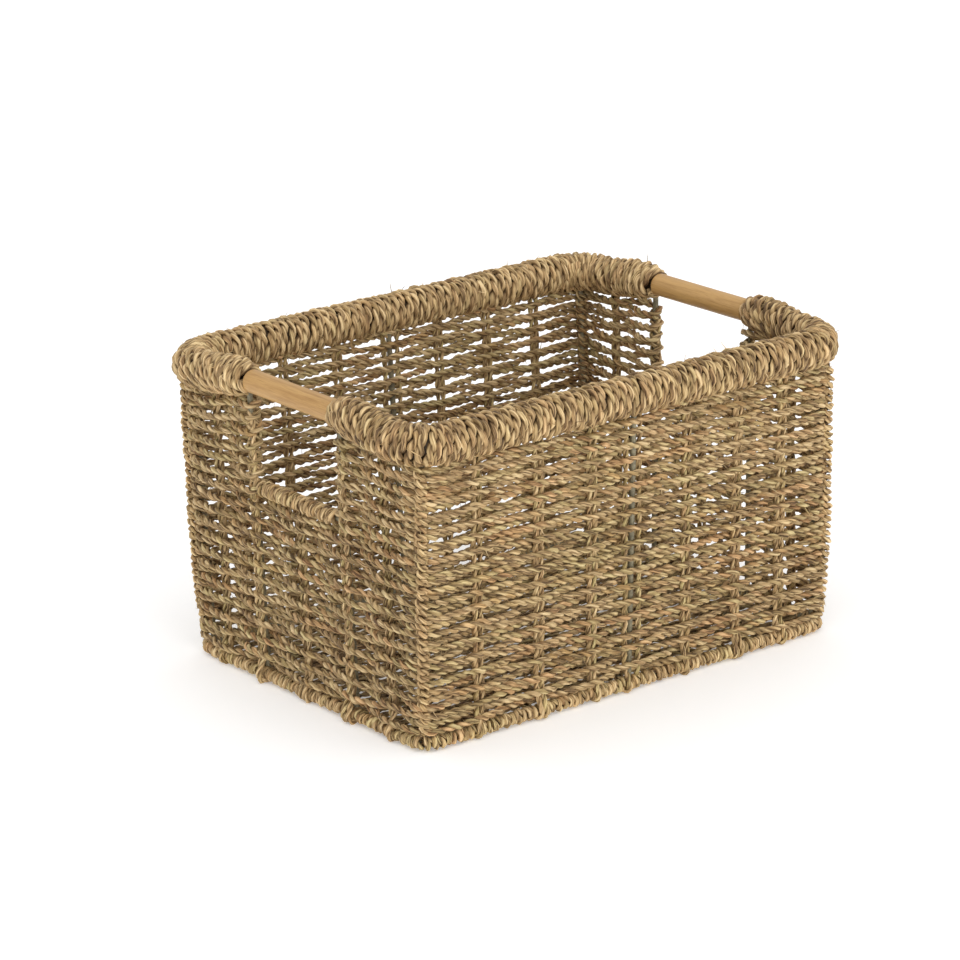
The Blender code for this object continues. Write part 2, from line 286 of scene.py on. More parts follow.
def mixed(nodes: Nodes, kind: str, factor: object, first: object, second: object) -> Socket:
    """A Mix node's colour, of one blend type.

    Args:
        nodes: the helper of the tree.
        kind: the blend type.
        factor: how much of the blend shows.
        first: the colour below.
        second: the colour blended onto it.

    Returns:
        The mixed colour's socket.
    """
    made = nodes.add("ShaderNodeMix", data_type="RGBA", blend_type=kind)
    for number, value in ((0, factor), (6, first), (7, second)):
        nodes.wire(made.inputs[number], value)
    return made.outputs[2]


def blade_place(nodes: Nodes, tone: object, along: object, section: object) -> Socket:
    """Where the noise of the blades is read, for a point on a ply.

    Args:
        nodes: the helper of the tree.
        tone: the ply's own random number.
        along: the distance along the ply.
        section: the place round the ply, on a unit circle.

    Returns:
        The place's socket.
    """
    apart = nodes.times(tone, BLADE_APART)
    lengthwise = nodes.combine(apart, 0.0, nodes.times(along, BLADE_RATE))
    return nodes.vector("ADD", section, lengthwise)


@dataclass(frozen=True)
class SeagrassFinish:
    """Dry seagrass: blades of straw, tan, olive and red-brown laid side by side in each ply."""

    name: str
    gain: float = 1.0
    olive: float = 0.5
    red: float = 0.25
    roughness: float = 0.62
    contrast: float = 0.52

    def share(
        self, nodes: Nodes, place: object, scale: float, band: tuple[float, float], most: float
    ) -> Socket:
        """How much of a tint shows: none below a band of the noise, the most above it."""
        return nodes.span(nodes.noise(place, scale, 1.0), band, (0.0, most))

    def color(self, red: float, green: float, blue: float) -> tuple[float, float, float]:
        """A palette colour at this finish's own lightness."""
        return red * self.gain, green * self.gain, blue * self.gain

    def straw(self, nodes: Nodes, lightness: object) -> Socket:
        """The colour of dry grass at a lightness, from a dark fold to a bleached blade.

        Args:
            nodes: the helper of the material.
            lightness: from 0, dark, to 1, pale.

        Returns:
            The colour's socket.
        """
        dark, brown = self.color(0.098, 0.056, 0.024), self.color(0.300, 0.190, 0.085)
        tan, bleached = self.color(0.460, 0.316, 0.152), self.color(0.720, 0.545, 0.300)
        return ramp(nodes, lightness, ((0.20, dark), (0.40, brown), (0.60, tan), (0.86, bleached)))

    def tinted(self, nodes: Nodes, straw: object, place: object) -> Socket:
        """Straw with its olive and red-brown stretches.

        Args:
            nodes: the helper of the material.
            straw: the plain colour.
            place: a place along the ply, for the noise that sets the stretches.

        Returns:
            The colour's socket.
        """
        green_share = self.share(nodes, place, 0.61, (0.46, 0.62), self.olive)
        olive = mixed(nodes, "MULTIPLY", green_share, straw, (0.80, 0.93, 0.72, 1.0))
        red_place = nodes.vector("ADD", place, (13.1, 5.7, 0.0))
        red_share = self.share(nodes, red_place, 0.83, (0.52, 0.66), self.red)
        return mixed(nodes, "MULTIPLY", red_share, olive, (0.98, 0.70, 0.55, 1.0))

    def shadowed(self, nodes: Nodes, color: object) -> Socket:
        """A colour with painted shade between the plies and between the turns of a winding.

        Args:
            nodes: the helper of the material.
            color: the colour without shade.

        Returns:
            The colour's socket.
        """
        # Painted shade: the colour is multiplied towards dark brown where the surface lies deep between the
        # two plies, and deep between the turns of a winding, where shade falls.
        groove_shade = nodes.span(nodes.shaded("depth"), (0.38, 0.92), (0.92, 0.0))
        hollow_shade = nodes.span(nodes.shaded("proud"), (-0.10, 0.56), (0.95, 0.0))
        shade = nodes.math("MAXIMUM", groove_shade, hollow_shade)
        return mixed(nodes, "MULTIPLY", shade, color, (0.30, 0.25, 0.20, 1.0))

    def material(self) -> bpy.types.Material:
        """Build the node material.

        Returns:
            The material.
        """
        material, nodes, shader = new_material(self.name)
        tone, along = nodes.shaded("ply_tone"), nodes.shaded("along")
        place = blade_place(nodes, tone, along, nodes.shaded("section", "Vector"))
        blades = nodes.noise(place, BLADE_SCALE, 2.0)
        fibres = nodes.noise(place, FIBRE_SCALE, 2.0)
        stretch = nodes.times(along, STRETCH_RATE)
        stretch_place = nodes.combine(nodes.times(tone, STRETCH_APART), 0.0, stretch)
        patches = nodes.noise(stretch_place, 1.0, 2.0)
        sharp = nodes.span(blades, (0.36, 0.64), (0.0, 1.0))
        lightness = nodes.times(nodes.minus(sharp, 0.5), self.contrast)
        lightness = nodes.plus(lightness, nodes.times(tone, 0.20))
        lightness = nodes.plus(lightness, nodes.times(patches, 0.34))
        streaks = nodes.times(nodes.minus(fibres, 0.5), 0.45)
        lightness = nodes.plus(lightness, nodes.plus(streaks, 0.26))
        color = self.tinted(nodes, self.straw(nodes, lightness), stretch_place)
        nodes.wire(shader.inputs["Base Color"], self.shadowed(nodes, color))
        shader.inputs["Roughness"].default_value = self.roughness
        shader.inputs["Specular IOR Level"].default_value = 0.35
        height = nodes.plus(nodes.times(fibres, 0.5), blades)
        bump = nodes.add("ShaderNodeBump", {"Strength": 0.9, "Distance": 0.0011, "Height": height})
        nodes.wire(shader.inputs["Normal"], bump.outputs[0])
        return material


@dataclass(frozen=True)
class WoodFinish:
    """Plain turned light wood, its grain along Y."""

    name: str
    pale: tuple[float, float, float] = (0.575, 0.338, 0.115)
    deep: tuple[float, float, float] = (0.42, 0.225, 0.066)

    def material(self) -> bpy.types.Material:
        """Build the node material.

        Returns:
            The material.
        """
        material, nodes, shader = new_material(self.name)
        place = nodes.add("ShaderNodeTexCoord").outputs["Object"]
        stretched = nodes.vector("MULTIPLY", place, (1.0, 0.055, 1.0))
        grain = nodes.add(
            "ShaderNodeTexNoise", {"Vector": stretched, "Scale": 420.0, "Detail": 4.0, "Distortion": 0.6}
        ).outputs[0]
        pores = nodes.noise(stretched, 1900.0, 2.0)
        broad = nodes.noise(place, 22.0, 1.0)
        factor = nodes.math(
            "ADD", nodes.times(grain, 0.7), nodes.times(broad, 0.35)
        )
        color = ramp(nodes, factor, ((0.36, self.deep), (0.62, self.pale)))
        dark = ramp(nodes, pores, ((0.34, (0.80, 0.74, 0.66)), (0.46, (1.0, 1.0, 1.0))))
        nodes.wire(shader.inputs["Base Color"], mixed(nodes, "MULTIPLY", 0.6, color, dark))
        shader.inputs["Roughness"].default_value = 0.48
        bump = nodes.add("ShaderNodeBump", {"Strength": 0.25, "Distance": 0.0003, "Height": pores})
        nodes.wire(shader.inputs["Normal"], bump.outputs[0])
        return material


@dataclass(frozen=True)
class WireFinish:
    """Dull grey-green drawn steel wire."""

    name: str
    color: tuple[float, float, float] = (0.275, 0.240, 0.150)

    def material(self) -> bpy.types.Material:
        """Build the node material.

        Returns:
            The material.
        """
        material, nodes, shader = new_material(self.name)
        place = nodes.add("ShaderNodeTexCoord").outputs["Object"]
        spots = nodes.add(
            "ShaderNodeTexNoise", {"Vector": place, "Scale": 260.0, "Detail": 4.0, "Roughness": 0.65}
        ).outputs[0]
        dull = tuple(0.55 * channel for channel in self.color)
        nodes.wire(shader.inputs["Base Color"], ramp(nodes, spots, ((0.38, dull), (0.6, self.color))))
        nodes.wire(shader.inputs["Roughness"], nodes.span(spots, (0.3, 0.7), (0.6, 0.38)))
        shader.inputs["Metallic"].default_value = 0.1
        bump = nodes.add("ShaderNodeBump", {"Strength": 0.2, "Distance": 0.0002, "Height": spots})
        nodes.wire(shader.inputs["Normal"], bump.outputs[0])
        return material


# ---------------------------------------------------------------------------------------------
# Lines that the cords follow
# ---------------------------------------------------------------------------------------------


@dataclass
class Line:
    """The middle line of one cord, with a girth and a lean at each point where it guides a winding."""

    points: list[Vector]
    closed: bool = False
    girth: list[float] = field(default_factory=list)
    lean: list[float] = field(default_factory=list)
    turns: list[float] = field(default_factory=list)


def placed(name: str, mesh: bpy.types.Mesh) -> bpy.types.Object:
    """A new object in the scene, at the origin.

    Args:
        name: the object's name.
        mesh: its mesh.

    Returns:
        The object.
    """
    obj = bpy.data.objects.new(name, mesh)
    bpy.context.scene.collection.objects.link(obj)
    return obj


def skin(shape: bmesh.types.BMesh, rings: Sequence[Sequence[bmesh.types.BMVert]]) -> None:
    """Add the faces between each ring of points and the next.

    Args:
        shape: the mesh that holds the rings.
        rings: the rings, in order.
    """
    for first, second in zip(rings, rings[1:]):
        for side in range(len(first)):
            after = (side + 1) % len(first)
            shape.faces.new((first[side], first[after], second[after], second[side]))


def guide_object(name: str, lines: Sequence[Line]) -> bpy.types.Object:
    """A mesh of bare edges along some lines, for a geometry node tree to turn into cords.

    Args:
        name: the object's name.
        lines: the lines; all of them carry girths and leans, or none does.

    Returns:
        The guide object.
    """
    points: list[Vector] = []
    edges: list[tuple[int, int]] = []
    for line in lines:
        first = len(points)
        points += line.points
        last = len(points) - 1
        edges += [(number, number + 1) for number in range(first, last)]
        if line.closed:
            edges.append((last, first))
    mesh = bpy.data.meshes.new(name)
    mesh.from_pydata(points, edges, [])
    for attribute in ("girth", "lean", "turns"):
        values = [value for line in lines for value in getattr(line, attribute)]
        if values:
            layer = mesh.attributes.new(attribute, "FLOAT", "POINT")
            layer.data.foreach_set("value", values)
    return placed(name, mesh)


def finished(
    obj: bpy.types.Object, tree: bpy.types.NodeTree, values: dict[str, object]
) -> bpy.types.Object:
    """Run a geometry node tree on an object and keep the result as a plain mesh.

    Args:
        obj: the guide object, which is removed.
        tree: the geometry node tree.
        values: the tree's inputs, by name.

    Returns:
        A new object at the origin, of the guide's name.
    """
    modifier = obj.modifiers.new("made", "NODES")
    modifier.node_group = tree
    for item in tree.interface.items_tree:
        if item.in_out == "INPUT" and item.name in values:
            modifier[item.identifier] = values[item.name]
    graph = bpy.context.evaluated_depsgraph_get()
    mesh = bpy.data.meshes.new_from_object(
        obj.evaluated_get(graph), preserve_all_data_layers=True, depsgraph=graph
    )
    name = obj.name
    guide = obj.data
    bpy.data.objects.remove(obj, do_unlink=True)
    bpy.data.meshes.remove(guide)
    mesh.name = name
    return placed(name, mesh)


# ---------------------------------------------------------------------------------------------
# Cords
# ---------------------------------------------------------------------------------------------


@dataclass(frozen=True)
class Cord:
    """A two-ply seagrass cord."""

    ply: float
    lay: float
    twist: float
    step: float = 0.0024
    sides: int = 7
    lump: float = 0.35
    wander: float = 0.0006
    hand: float = 1.0
    relief: float = 0.0021

    @property
    def radius(self) -> float:
        """Half of the cord's full width."""
        return self.ply + self.lay

    def inputs(self, seed: int, material: bpy.types.Material) -> dict[str, object]:
        """The cord tree's inputs for this cord.

        Args:
            seed: sets its random numbers.
            material: the cord's material.

        Returns:
            The values, by input name.
        """
        return {
            "Ply radius": self.ply,
            "Lay radius": self.lay,
            "Twist length": self.twist,
            "Step": self.step,
            "Sides": self.sides,
            "Lump": self.lump,
            "Wander": self.wander,
            "Lay hand": self.hand,
            "Relief": self.relief,
            "Seed": seed,
            "Material": material,
        }


@dataclass(frozen=True)
class Winding:
    """How a cord is wound round its guide."""

    pitch: float
    uneven: float
    around: float = 12.0
    hand: float = 1.0
    reference: tuple[float, float, float] = (0.0, 0.0, 1.0)

    def inputs(self) -> dict[str, object]:
        """The winding tree's own inputs.

        Returns:
            The values, by input name.
        """
        return {
            "Pitch": self.pitch,
            "Points per turn": self.around,
            "Unevenness": self.uneven,
            "Hand": self.hand,
            "Reference": self.reference,
        }


def even_guide(points: list[Vector], girth: float, turns: float) -> Line:
    """A guide for a winding of one girth, with its turns spread evenly.

    Args:
        points: the guide's points.
        girth: how far out the cord's middle runs.
        turns: how many turns it takes in all.

    Returns:
        The guide line.
    """
    count = len(points) - 1
    spread = [turns * number / count for number in range(count + 1)]
    return Line(points, girth=[girth] * (count + 1), lean=[0.0] * (count + 1), turns=spread)


CORD_INPUTS = (
    ("Ply radius", "NodeSocketFloat", 0.0013),
    ("Lay radius", "NodeSocketFloat", 0.0011),
    ("Twist length", "NodeSocketFloat", 0.02),
    ("Step", "NodeSocketFloat", 0.0024),
    ("Sides", "NodeSocketInt", 7),
    ("Lump", "NodeSocketFloat", 0.3),
    ("Wander", "NodeSocketFloat", 0.0005),
    ("Lay hand", "NodeSocketFloat", 1.0),
    ("Relief", "NodeSocketFloat", 0.002),
    ("Seed", "NodeSocketInt", 0),
    ("Material", "NodeSocketMaterial", None),
)


class CordTrees:
    """The two geometry node trees: one twists a cord along a line, one first winds that line."""

    # How far a ply's tone shifts its pattern, in metres, and how many lumps it has in a metre.
    tone_shift = 9.0
    lump_rate = 170.0

    def __init__(self) -> None:
        """Build both trees."""
        self.twist = self.twist_tree()
        self.wind = self.wind_tree()

    def twist_tree(self) -> bpy.types.NodeTree:
        """A tree that lays two plies round each line of the input.

        Returns:
            The tree.
        """
        tree = bpy.data.node_groups.new("twisted_cord", "GeometryNodeTree")
        add_inputs(tree, CORD_INPUTS)
        nodes = Nodes(tree)
        given = nodes.add("NodeGroupInput").outputs
        curve = nodes.add("GeometryNodeMeshToCurve", {0: given["Geometry"]}).outputs[0]
        smooth = nodes.add("GeometryNodeCurveSplineType", {0: curve}, spline_type="CATMULL_ROM")
        even = nodes.add(
            "GeometryNodeResampleCurve",
            {"Curve": smooth.outputs[0], "Length": given["Step"]},
            mode="LENGTH",
        ).outputs[0]
        join = nodes.add("GeometryNodeJoinGeometry")
        for ply in (0, 1):
            tree.links.new(self.one_ply(nodes, given, even, ply), join.inputs[0])
        shaded = nodes.add("GeometryNodeSetShadeSmooth", {0: join.outputs[0], "Shade Smooth": True})
        real = nodes.add("GeometryNodeRealizeInstances", {0: shaded.outputs[0]})
        dressed = nodes.add("GeometryNodeSetMaterial", {0: real.outputs[0], "Material": given["Material"]})
        nodes.add("NodeGroupOutput", {0: dressed.outputs[0]})
        return tree

    def one_ply(
        self,
        nodes: Nodes,
        given: Sockets,
        curve: Socket,
        ply: int,
    ) -> Socket:
        """One ply of every line, as a lumpy tube.

        Args:
            nodes: the helper of the twist tree.
            given: the tree's input sockets.
            curve: the evenly spaced lines.
            ply: 0 or 1; the second lies opposite the first.

        Returns:
            The ply's mesh.
        """
        seed = nodes.plus(nodes.times(given["Seed"], 2.0), float(ply))
        random_tone = nodes.add("FunctionNodeRandomValue", {"Seed": seed}, data_type="FLOAT").outputs[1]
        shared = nodes.add("FunctionNodeRandomValue", {"Seed": given["Seed"]}, data_type="FLOAT").outputs[1]
        curve = nodes.store(curve, "ply_tone", random_tone, domain="CURVE")
        curve = nodes.store(curve, "start", shared, domain="CURVE")
        tone = nodes.read("ply_tone")
        spline = nodes.add("GeometryNodeSplineParameter").outputs
        along = nodes.plus(spline["Length"], nodes.times(tone, self.tone_shift))
        curve = nodes.store(curve, "along", along)
        curve = nodes.store(curve, "axis", nodes.position(), "FLOAT_VECTOR")
        offset = nodes.vector(
            "ADD",
            nodes.scaled(self.lay_direction(nodes, given, ply), given["Lay radius"]),
            self.wandering(nodes, given, tone, seed),
        )
        laid = nodes.add("GeometryNodeSetPosition", {"Geometry": curve, "Offset": offset}).outputs[0]
        lumps = nodes.line_noise(nodes.times(along, self.lump_rate))
        swell = nodes.times(nodes.minus(lumps, 0.5), given["Lump"])
        grown = nodes.plus(nodes.times(swell, 2.0), 1.0)
        circle = nodes.add(
            "GeometryNodeCurvePrimitiveCircle", {"Resolution": given["Sides"], "Radius": 1.0}, mode="RADIUS"
        ).outputs[0]
        tube = nodes.add(
            "GeometryNodeCurveToMesh",
            {
                "Curve": laid,
                "Profile Curve": nodes.store(circle, "section", nodes.position(), "FLOAT_VECTOR"),
                "Scale": nodes.times(given["Ply radius"], grown),
                "Fill Caps": True,
            },
        ).outputs[0]
        return self.with_blades(nodes, given, self.with_depths(nodes, given, tube))

    def lay_direction(
        self, nodes: Nodes, given: Sockets, ply: int
    ) -> Socket:
        """The unit vector from a cord's middle line to a ply, which turns as the cord twists.

        Args:
            nodes: the helper of the tree.
            given: the tree's input sockets.
            ply: 0 or 1.

        Returns:
            The vector's socket.
        """
        spline = nodes.add("GeometryNodeSplineParameter").outputs
        length = nodes.add("GeometryNodeSplineLength").outputs["Length"]
        turns = nodes.math("ROUND", nodes.math("DIVIDE", length, given["Twist length"]))
        turn = nodes.plus(nodes.times(turns, spline["Factor"]), nodes.read("start"))
        angle = nodes.times(nodes.plus(turn, 0.5 * ply), 2.0 * math.pi)
        angle = nodes.times(angle, given["Lay hand"])
        normal = nodes.add("GeometryNodeInputNormal").outputs[0]
        tangent = nodes.add("GeometryNodeInputTangent").outputs[0]
        side = nodes.vector("CROSS_PRODUCT", tangent, normal)
        across = nodes.scaled(normal, nodes.math("COSINE", angle))
        return nodes.vector("ADD", across, nodes.scaled(side, nodes.math("SINE", angle)))

    def wandering(
        self, nodes: Nodes, given: Sockets, tone: object, seed: object
    ) -> Socket:
        """How far a ply strays from its even lay, as a vector.

        Args:
            nodes: the helper of the tree.
            given: the tree's input sockets.
            tone: the ply's own random number.
            seed: the ply's seed.

        Returns:
            The vector's socket.
        """
        ply_shift = nodes.combine(nodes.times(tone, 5.0), seed, 0.0)
        inputs = {"Vector": nodes.vector("ADD", nodes.position(), ply_shift), "Scale": 90.0, "Detail": 1.0}
        loose = nodes.add("ShaderNodeTexNoise", inputs).outputs["Color"]
        loose = nodes.scaled(nodes.vector("SUBTRACT", loose, (0.5, 0.5, 0.5)), given["Wander"])
        return nodes.scaled(loose, 2.0)

    def with_depths(
        self, nodes: Nodes, given: Sockets, tube: Socket
    ) -> Socket:
        """Store how far each point lies out from its cord's middle and out from its winding's turns; the
        seagrass material paints shade from both.

        Args:
            nodes: the helper of the tree.
            given: the tree's input sockets.
            tube: the ply's mesh.

        Returns:
            The mesh, with both numbers stored.
        """
        place = nodes.position()
        whole = nodes.plus(given["Ply radius"], given["Lay radius"])
        away = nodes.distance(place, nodes.read("axis", "FLOAT_VECTOR"))
        deep = nodes.store(tube, "depth", nodes.math("DIVIDE", away, whole))
        out = nodes.distance(place, nodes.read("core", "FLOAT_VECTOR"))
        proud = nodes.math("DIVIDE", nodes.minus(out, nodes.read("girth")), whole)
        return nodes.store(deep, "proud", proud)

    def with_blades(
        self, nodes: Nodes, given: Sockets, tube: Socket
    ) -> Socket:
        """Push a ply's surface in and out, so that its single blades show.

        Args:
            nodes: the helper of the tree.
            given: the tree's input sockets.
            tube: the ply's mesh.

        Returns:
            The mesh, pushed in and out.
        """
        section = nodes.read("section", "FLOAT_VECTOR")
        place = blade_place(nodes, nodes.read("ply_tone"), nodes.read("along"), section)
        blades = nodes.noise(place, BLADE_SCALE, 2.0)
        push = nodes.times(nodes.minus(blades, 0.5), given["Relief"])
        offset = nodes.scaled(nodes.add("GeometryNodeInputNormal").outputs[0], push)
        return nodes.add("GeometryNodeSetPosition", {"Geometry": tube, "Offset": offset}).outputs[0]

    def wind_tree(self) -> bpy.types.NodeTree:
        """A tree that winds a line round each guide line, then twists a cord along it.

        Returns:
            The tree.
        """
        tree = bpy.data.node_groups.new("wound_cord", "GeometryNodeTree")
        extra = (
            ("Pitch", "NodeSocketFloat", 0.006),
            ("Points per turn", "NodeSocketFloat", 16.0),
            ("Unevenness", "NodeSocketFloat", 0.001),
            ("Hand", "NodeSocketFloat", 1.0),
            ("Reference", "NodeSocketVector", (0.0, 0.0, 1.0)),
        )
        add_inputs(tree, (*CORD_INPUTS, *extra))
        nodes = Nodes(tree)
        given = nodes.add("NodeGroupInput").outputs
        curve = nodes.add("GeometryNodeMeshToCurve", {0: given["Geometry"]}).outputs[0]
        spacing = nodes.math("DIVIDE", given["Pitch"], given["Points per turn"])
        fine = nodes.add(
            "GeometryNodeResampleCurve", {"Curve": curve, "Length": spacing}, mode="LENGTH"
        ).outputs[0]
        turn = nodes.read("turns")
        angle = nodes.times(turn, nodes.times(given["Hand"], 2.0 * math.pi))
        girth, lean = nodes.read("girth"), nodes.read("lean")
        tangent = nodes.add("GeometryNodeInputTangent").outputs[0]
        outward = nodes.add(
            "ShaderNodeVectorMath",
            {0: nodes.vector("CROSS_PRODUCT", tangent, given["Reference"])},
            operation="NORMALIZE",
        ).outputs[0]
        upward = nodes.vector("CROSS_PRODUCT", outward, tangent)
        high = nodes.math("SINE", angle)
        ring = nodes.vector(
            "ADD", nodes.scaled(outward, nodes.math("COSINE", angle)), nodes.scaled(upward, high)
        )
        uneven = self.unevenness(nodes, turn, given["Seed"])
        slack = nodes.times(uneven[0], given["Unevenness"])
        slide = nodes.times(uneven[1], nodes.times(given["Unevenness"], 2.2))
        slide = nodes.minus(slide, nodes.times(lean, high))
        offset = nodes.vector(
            "ADD",
            nodes.scaled(ring, nodes.plus(girth, slack)),
            nodes.scaled(tangent, slide),
        )
        core = nodes.vector("ADD", nodes.position(), nodes.scaled(tangent, slide))
        cored = nodes.store(fine, "core", core, "FLOAT_VECTOR")
        wound = nodes.add("GeometryNodeSetPosition", {"Geometry": cored, "Offset": offset}).outputs[0]
        as_edges = nodes.add("GeometryNodeCurveToMesh", {"Curve": wound}).outputs[0]
        twisted = nodes.add("GeometryNodeGroup", node_tree=self.twist)
        nodes.wire(twisted.inputs["Geometry"], as_edges)
        for name, _, _ in CORD_INPUTS:
            nodes.wire(twisted.inputs[name], given[name])
        real = nodes.add("GeometryNodeRealizeInstances", {0: twisted.outputs[0]})
        dressed = nodes.add("GeometryNodeSetMaterial", {0: real.outputs[0], "Material": given["Material"]})
        nodes.add("NodeGroupOutput", {0: dressed.outputs[0]})
        return tree

    def unevenness(
        self, nodes: Nodes, turn: Socket, seed: Socket
    ) -> list[Socket]:
        """Two slow random numbers, from -0.5 to 0.5, along a winding: its slack and its slide.

        Args:
            nodes: the helper of the tree.
            turn: how many turns lie before the point.
            seed: the winding's seed.

        Returns:
            The two numbers' sockets.
        """
        found = []
        for number, speed in enumerate((0.9, 1.7)):
            moved = nodes.math(
                "ADD", nodes.times(turn, speed), nodes.times(seed, 7.3 + number)
            )
            found.append(nodes.minus(nodes.line_noise(moved), 0.5))
        return found


# ---------------------------------------------------------------------------------------------
# The basket's own lines, read from the frame
# ---------------------------------------------------------------------------------------------


def middle(node: str) -> Vector:
    """The centre of a CAD node's box."""
    low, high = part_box(node)
    return (low + high) / 2


def half_size(node: str) -> Vector:
    """Half the size of a CAD node's box."""
    low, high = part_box(node)
    return (high - low) / 2


@dataclass
class WallShape:
    """The middle line of the walls at every height, read from the wire frame."""

    base_corner: float = 0.012
    rim_corner: float = 0.028
    wall_corner: float = 0.017
    rise_run: float = 0.050
    foot_spread: float = 0.0028
    rim_tuck: float = 0.0018

    def __post_init__(self) -> None:
        """Read the two wire loops and the rim from the frame."""
        base, rim = half_size("base_wire"), half_size("rim_wire")
        self.wire = base.z
        across = self.foot_spread - base.z
        self.base = Vector((base.x + across, base.y + across, middle("base_wire").z))
        self.rim = Vector((rim.x - rim.z, rim.y - rim.z, self.roll_height()))
        self.rim_wire_z = middle("rim_wire").z
        self.rim_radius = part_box("rim_wrap_front")[1].x - self.rim.x
        low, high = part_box("rim_wrap_front")
        self.rise = (high.z - low.z) - 2 * self.rim_radius
        self.post = abs(middle("handle_post_left_front").y)

    @staticmethod
    def roll_height() -> float:
        """Height of the rim's middle along the long walls.

        Returns:
            The height.
        """
        low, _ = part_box("rim_wrap_front")
        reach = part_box("rim_wrap_front")[1].x - (half_size("rim_wire").x - half_size("rim_wire").z)
        return low.z + reach

    def outline(self, z: float) -> tuple[float, float, float]:
        """Half lengths and corner radius of the middle line at a height.

        Args:
            z: the height.

        Returns:
            Half the length, half the depth and the corner radius.
        """
        t = (z - self.base.z) / (self.rim.z - self.base.z)
        half_x = self.base.x + t * (self.rim.x - self.rim_tuck - self.base.x)
        half_y = self.base.y + t * (self.rim.y - self.rim_tuck - self.base.y)
        corner = self.base_corner + t * (self.wall_corner - self.base_corner)
        return half_x, half_y, corner

    def rim_rise(self, y: float) -> float:
        """How much higher the rim stands at a place along a short wall.

        Args:
            y: the place along the wall.

        Returns:
            The extra height.
        """
        part = (self.rim.y - self.rim_corner - abs(y)) / self.rise_run
        part = min(max(part, 0.0), 1.0)
        return self.rise * part * part * (3 - 2 * part)


@dataclass
class Loop:
    """A rounded rectangle that starts in the middle of the left end and runs round by the front."""

    half_x: float
    half_y: float
    corner: float

    def __post_init__(self) -> None:
        """Lay out its straight runs and its arcs."""
        side_x, side_y = self.half_x - self.corner, self.half_y - self.corner
        arc = math.pi * self.corner / 2
        self.runs = [side_y, arc, 2 * side_x, arc, 2 * side_y, arc, 2 * side_x, arc, side_y]
        self.length = sum(self.runs)

    def at(self, place: float) -> tuple[Vector, Vector]:
        """A point and its outward direction.

        Args:
            place: distance along the loop.

        Returns:
            The flat point and its flat outward unit vector.
        """
        place %= self.length
        run = 0
        while place > self.runs[run] and run < len(self.runs) - 1:
            place -= self.runs[run]
            run += 1
        side_x, side_y = self.half_x - self.corner, self.half_y - self.corner
        if run % 2:
            quarter = run // 2
            centres = ((-side_x, -side_y), (side_x, -side_y), (side_x, side_y), (-side_x, side_y))
            angle = math.pi + quarter * math.pi / 2 + place / self.corner
            out = Vector((math.cos(angle), math.sin(angle)))
            return Vector(centres[quarter]) + out * self.corner, out
        starts = (
            (Vector((-self.half_x, 0.0)), Vector((0, -1))),
            (Vector((-side_x, -self.half_y)), Vector((1, 0))),
            (Vector((self.half_x, -side_y)), Vector((0, 1))),
            (Vector((side_x, self.half_y)), Vector((-1, 0))),
            (Vector((-self.half_x, side_y)), Vector((0, -1))),
        )
        start, way = starts[run // 2]
        return start + way * place, Vector((way.y, -way.x))

    def place_of(self, kind: str, value: float) -> float:
        """Distance along the loop of a place on a wall.

        Args:
            kind: left, front, right or back, or corner.
            value: x or y on that wall, or the corner's number from front left.

        Returns:
            The distance along the loop.
        """
        ends = [0.0]
        for run in self.runs:
            ends.append(ends[-1] + run)
        side_x, side_y = self.half_x - self.corner, self.half_y - self.corner
        if kind == "corner":
            return (ends[2 * int(value) + 1] + ends[2 * int(value) + 2]) / 2
        if kind == "front":
            return ends[2] + value + side_x
        if kind == "right":
            return ends[4] + value + side_y
        if kind == "back":
            return ends[6] + side_x - value
        return -value if value <= 0 else self.length - value


@dataclass(frozen=True)
class Station:
    """A stake or post that the rows pass on one side or the other."""

    wall: str
    value: float
    reach: float = 0.0036


class Stations:
    """Every stake and post round the basket, in the order in which a row meets them."""

    def __init__(self) -> None:
        """Read the stakes' places from the frame."""
        self.front = sorted(self.stake_places("front"), key=lambda station: station.value)
        self.back = sorted(self.stake_places("back"), key=lambda station: -station.value)
        left, right = self.end_places("left"), self.end_places("right")
        self.all = [
            Station("left", 0.0),
            left[0],
            left[1],
            Station("corner", 0, 0.002),
            *self.front,
            Station("corner", 1, 0.002),
            right[1],
            right[0],
            Station("right", 0.0),
            right[2],
            right[3],
            Station("corner", 2, 0.002),
            *self.back,
            Station("corner", 3, 0.002),
            left[3],
            left[2],
        ]

    @staticmethod
    def stake_places(word: str) -> list[Station]:
        """The stakes of a long wall, and its middle post.

        Args:
            word: the wall's name.

        Returns:
            One station for each.
        """
        names = [f"stake_{word}_{number}" for number in range(1, 7)]
        places = [Station(word, middle(name).x) for name in names]
        return [*places, Station(word, middle(f"middle_post_{word}").x, 0.0085)]

    @staticmethod
    def end_places(word: str) -> list[Station]:
        """The handle posts and stakes of a short wall: front post, front stake, back post, back stake.

        Args:
            word: the wall's name.

        Returns:
            The four stations.
        """
        found = []
        for half in Half:
            post = middle(f"handle_post_{word}_{half.word}").y
            beside = middle(f"stake_{word}_{half.word}_post").y
            found.append(Station(word, (post + beside) / 2, 0.006))
            pair = middle(f"stake_{word}_{half.word}").y
            found.append(Station(word, pair + half.value * STAKE_SHIFT, 0.0045))
        return found


# ---------------------------------------------------------------------------------------------
# Sub-assemblies
# ---------------------------------------------------------------------------------------------


